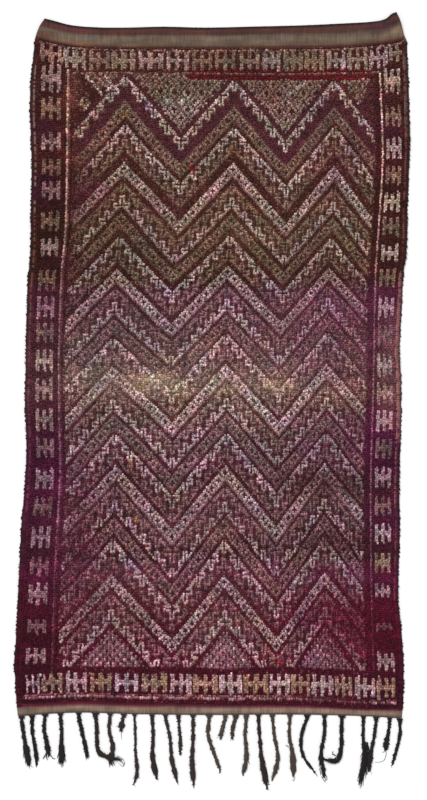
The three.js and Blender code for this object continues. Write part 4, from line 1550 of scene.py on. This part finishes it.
def wool_material(name, fibre=900.0, woven=False):
    material, shader = node_material(name)
    # Vertex colours: the dyes, with painted shade at the lock roots, in the lower halves of ladder
    # diamonds and in the grooves between the side wraps.
    dye_and_painted_shade = add_node(material, "VertexColor", {}, layer_name="dye_with_painted_shade")
    place = add_node(material, "TexCoord", {}).outputs["Object"]
    fibres = noise(material, place, fibre, 3.0)
    colour = toned(material, dye_and_painted_shade.outputs["Color"], brought(material, fibres, *FIBRE_TONE))
    relief = {**WOOL_RELIEF, "Height": fibres}
    normal = add_node(material, "Bump", relief).outputs["Normal"]
    if woven:
        for scale, low, high in WEAVE_STREAKS:
            drawn_out = add_node(material, "Mapping", {"Scale": scale, "Vector": place})
            streaks = noise(material, drawn_out.outputs["Vector"], 1.0, 2.0)
            factor = brought(material, streaks, low, high, 0.25, 0.75)
            colour = toned(material, colour, factor)
        inputs = {"Scale": RIB_SCALE, "Distortion": 1.5, "Vector": place}
        ribs = add_node(material, "TexWave", inputs, bands_direction="X").outputs["Fac"]
        relief = {**RIB_RELIEF, "Height": ribs, "Normal": normal}
        normal = add_node(material, "Bump", relief).outputs["Normal"]
    for name, value in {
        "Base Color": colour, "Roughness": brought(material, fibres, *WOOL_ROUGHNESS),
        "Normal": normal, "Sheen Weight": 0.04, "Sheen Roughness": 0.5,
        "Specular IOR Level": 0.1,
    }.items():
        fill(material, shader.inputs[name], value)
    return material


pile_wool = wool_material("pile_wool")
ground_wool = wool_material("ground_wool", fibre=500.0)
flat_weave = wool_material("flat_weave", fibre=500.0, woven=True)

ground = woven_ground()
ground.data.materials.append(flat_weave)
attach(ground, "root")
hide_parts("rug")

edges = np.linspace(0, COLUMNS, STRIPS + 1).round().astype(int)
for k in range(STRIPS):
    strip = pile_strip(f"pile_{k + 1}", edges[k], edges[k + 1])
    strip.data.materials.append(pile_wool)
    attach(strip, "root")

trims = [
    selvedge("selvedge_left", left_at, 1, PILE_START[0], PILE_END[0], LEFT_STITCHES, (1, 1, 1)),
    selvedge(
        "selvedge_right", right_at, -1, PILE_START[-1], PILE_END[-1], RIGHT_STITCHES,
        RIGHT_SIDE_GAIN,
    ),
    hem(),
    loose_fibres(),
]
for trim in trims:
    trim.data.materials.append(ground_wool)
    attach(trim, "root")

cords = fringe()
cords.data.materials.append(ground_wool)
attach(cords, "root")
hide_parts("fringe")

# Floor, light and camera.
FLOOR_REACH = 60.0
FLOOR_HEIGHT = -0.0006
ROOM_LIGHT = 0.62
LAMP_LIGHT = 2.4
LAMP_SPREAD = 25
LAMP_TILT = (-38, -30)
floor_mesh = bpy.data.meshes.new("floor")
floor_mesh.from_pydata(
    [(x * FLOOR_REACH, y * FLOOR_REACH, FLOOR_HEIGHT) for x, y in CORNERS * 2],
    [],
    [(0, 1, 2, 3)],
)
floor = bpy.data.objects.new("floor", floor_mesh)
bpy.context.scene.collection.objects.link(floor)
floor_paint, floor_shader = node_material("floor_paint")
floor_shader.inputs["Base Color"].default_value = (0.9, 0.9, 0.9, 1)
floor_shader.inputs["Roughness"].default_value = 0.9
floor_shader.inputs["Specular IOR Level"].default_value = 0.0
floor_mesh.materials.append(floor_paint)

world = bpy.data.worlds.new("studio")
world.use_nodes = True
background = world.node_tree.nodes["Background"]
background.inputs["Color"].default_value = (1, 1, 1, 1)
background.inputs["Strength"].default_value = ROOM_LIGHT
bpy.context.scene.world = world

lamp = bpy.data.lights.new("softbox", "SUN")
lamp.energy = LAMP_LIGHT
lamp.angle = math.radians(LAMP_SPREAD)
lamp_object = bpy.data.objects.new("softbox", lamp)
lamp_object.rotation_euler = (*map(math.radians, LAMP_TILT), 0)
bpy.context.scene.collection.objects.link(lamp_object)

VIEW_CENTRE = (0.0068, 0.005)
VIEW_HEIGHT = 3.640
CAMERA_HEIGHT = 7.0
SENSOR = 36.0
camera = bpy.data.cameras.new("camera")
camera.sensor_width = SENSOR
camera.lens = SENSOR / 2 / (VIEW_HEIGHT / 2 / CAMERA_HEIGHT)
camera.clip_end = 100
camera_object = bpy.data.objects.new("camera", camera)
camera_object.location = (*VIEW_CENTRE, CAMERA_HEIGHT)
bpy.context.scene.collection.objects.link(camera_object)
bpy.context.scene.camera = camera_object
bpy.context.scene.view_settings.view_transform = "Standard"
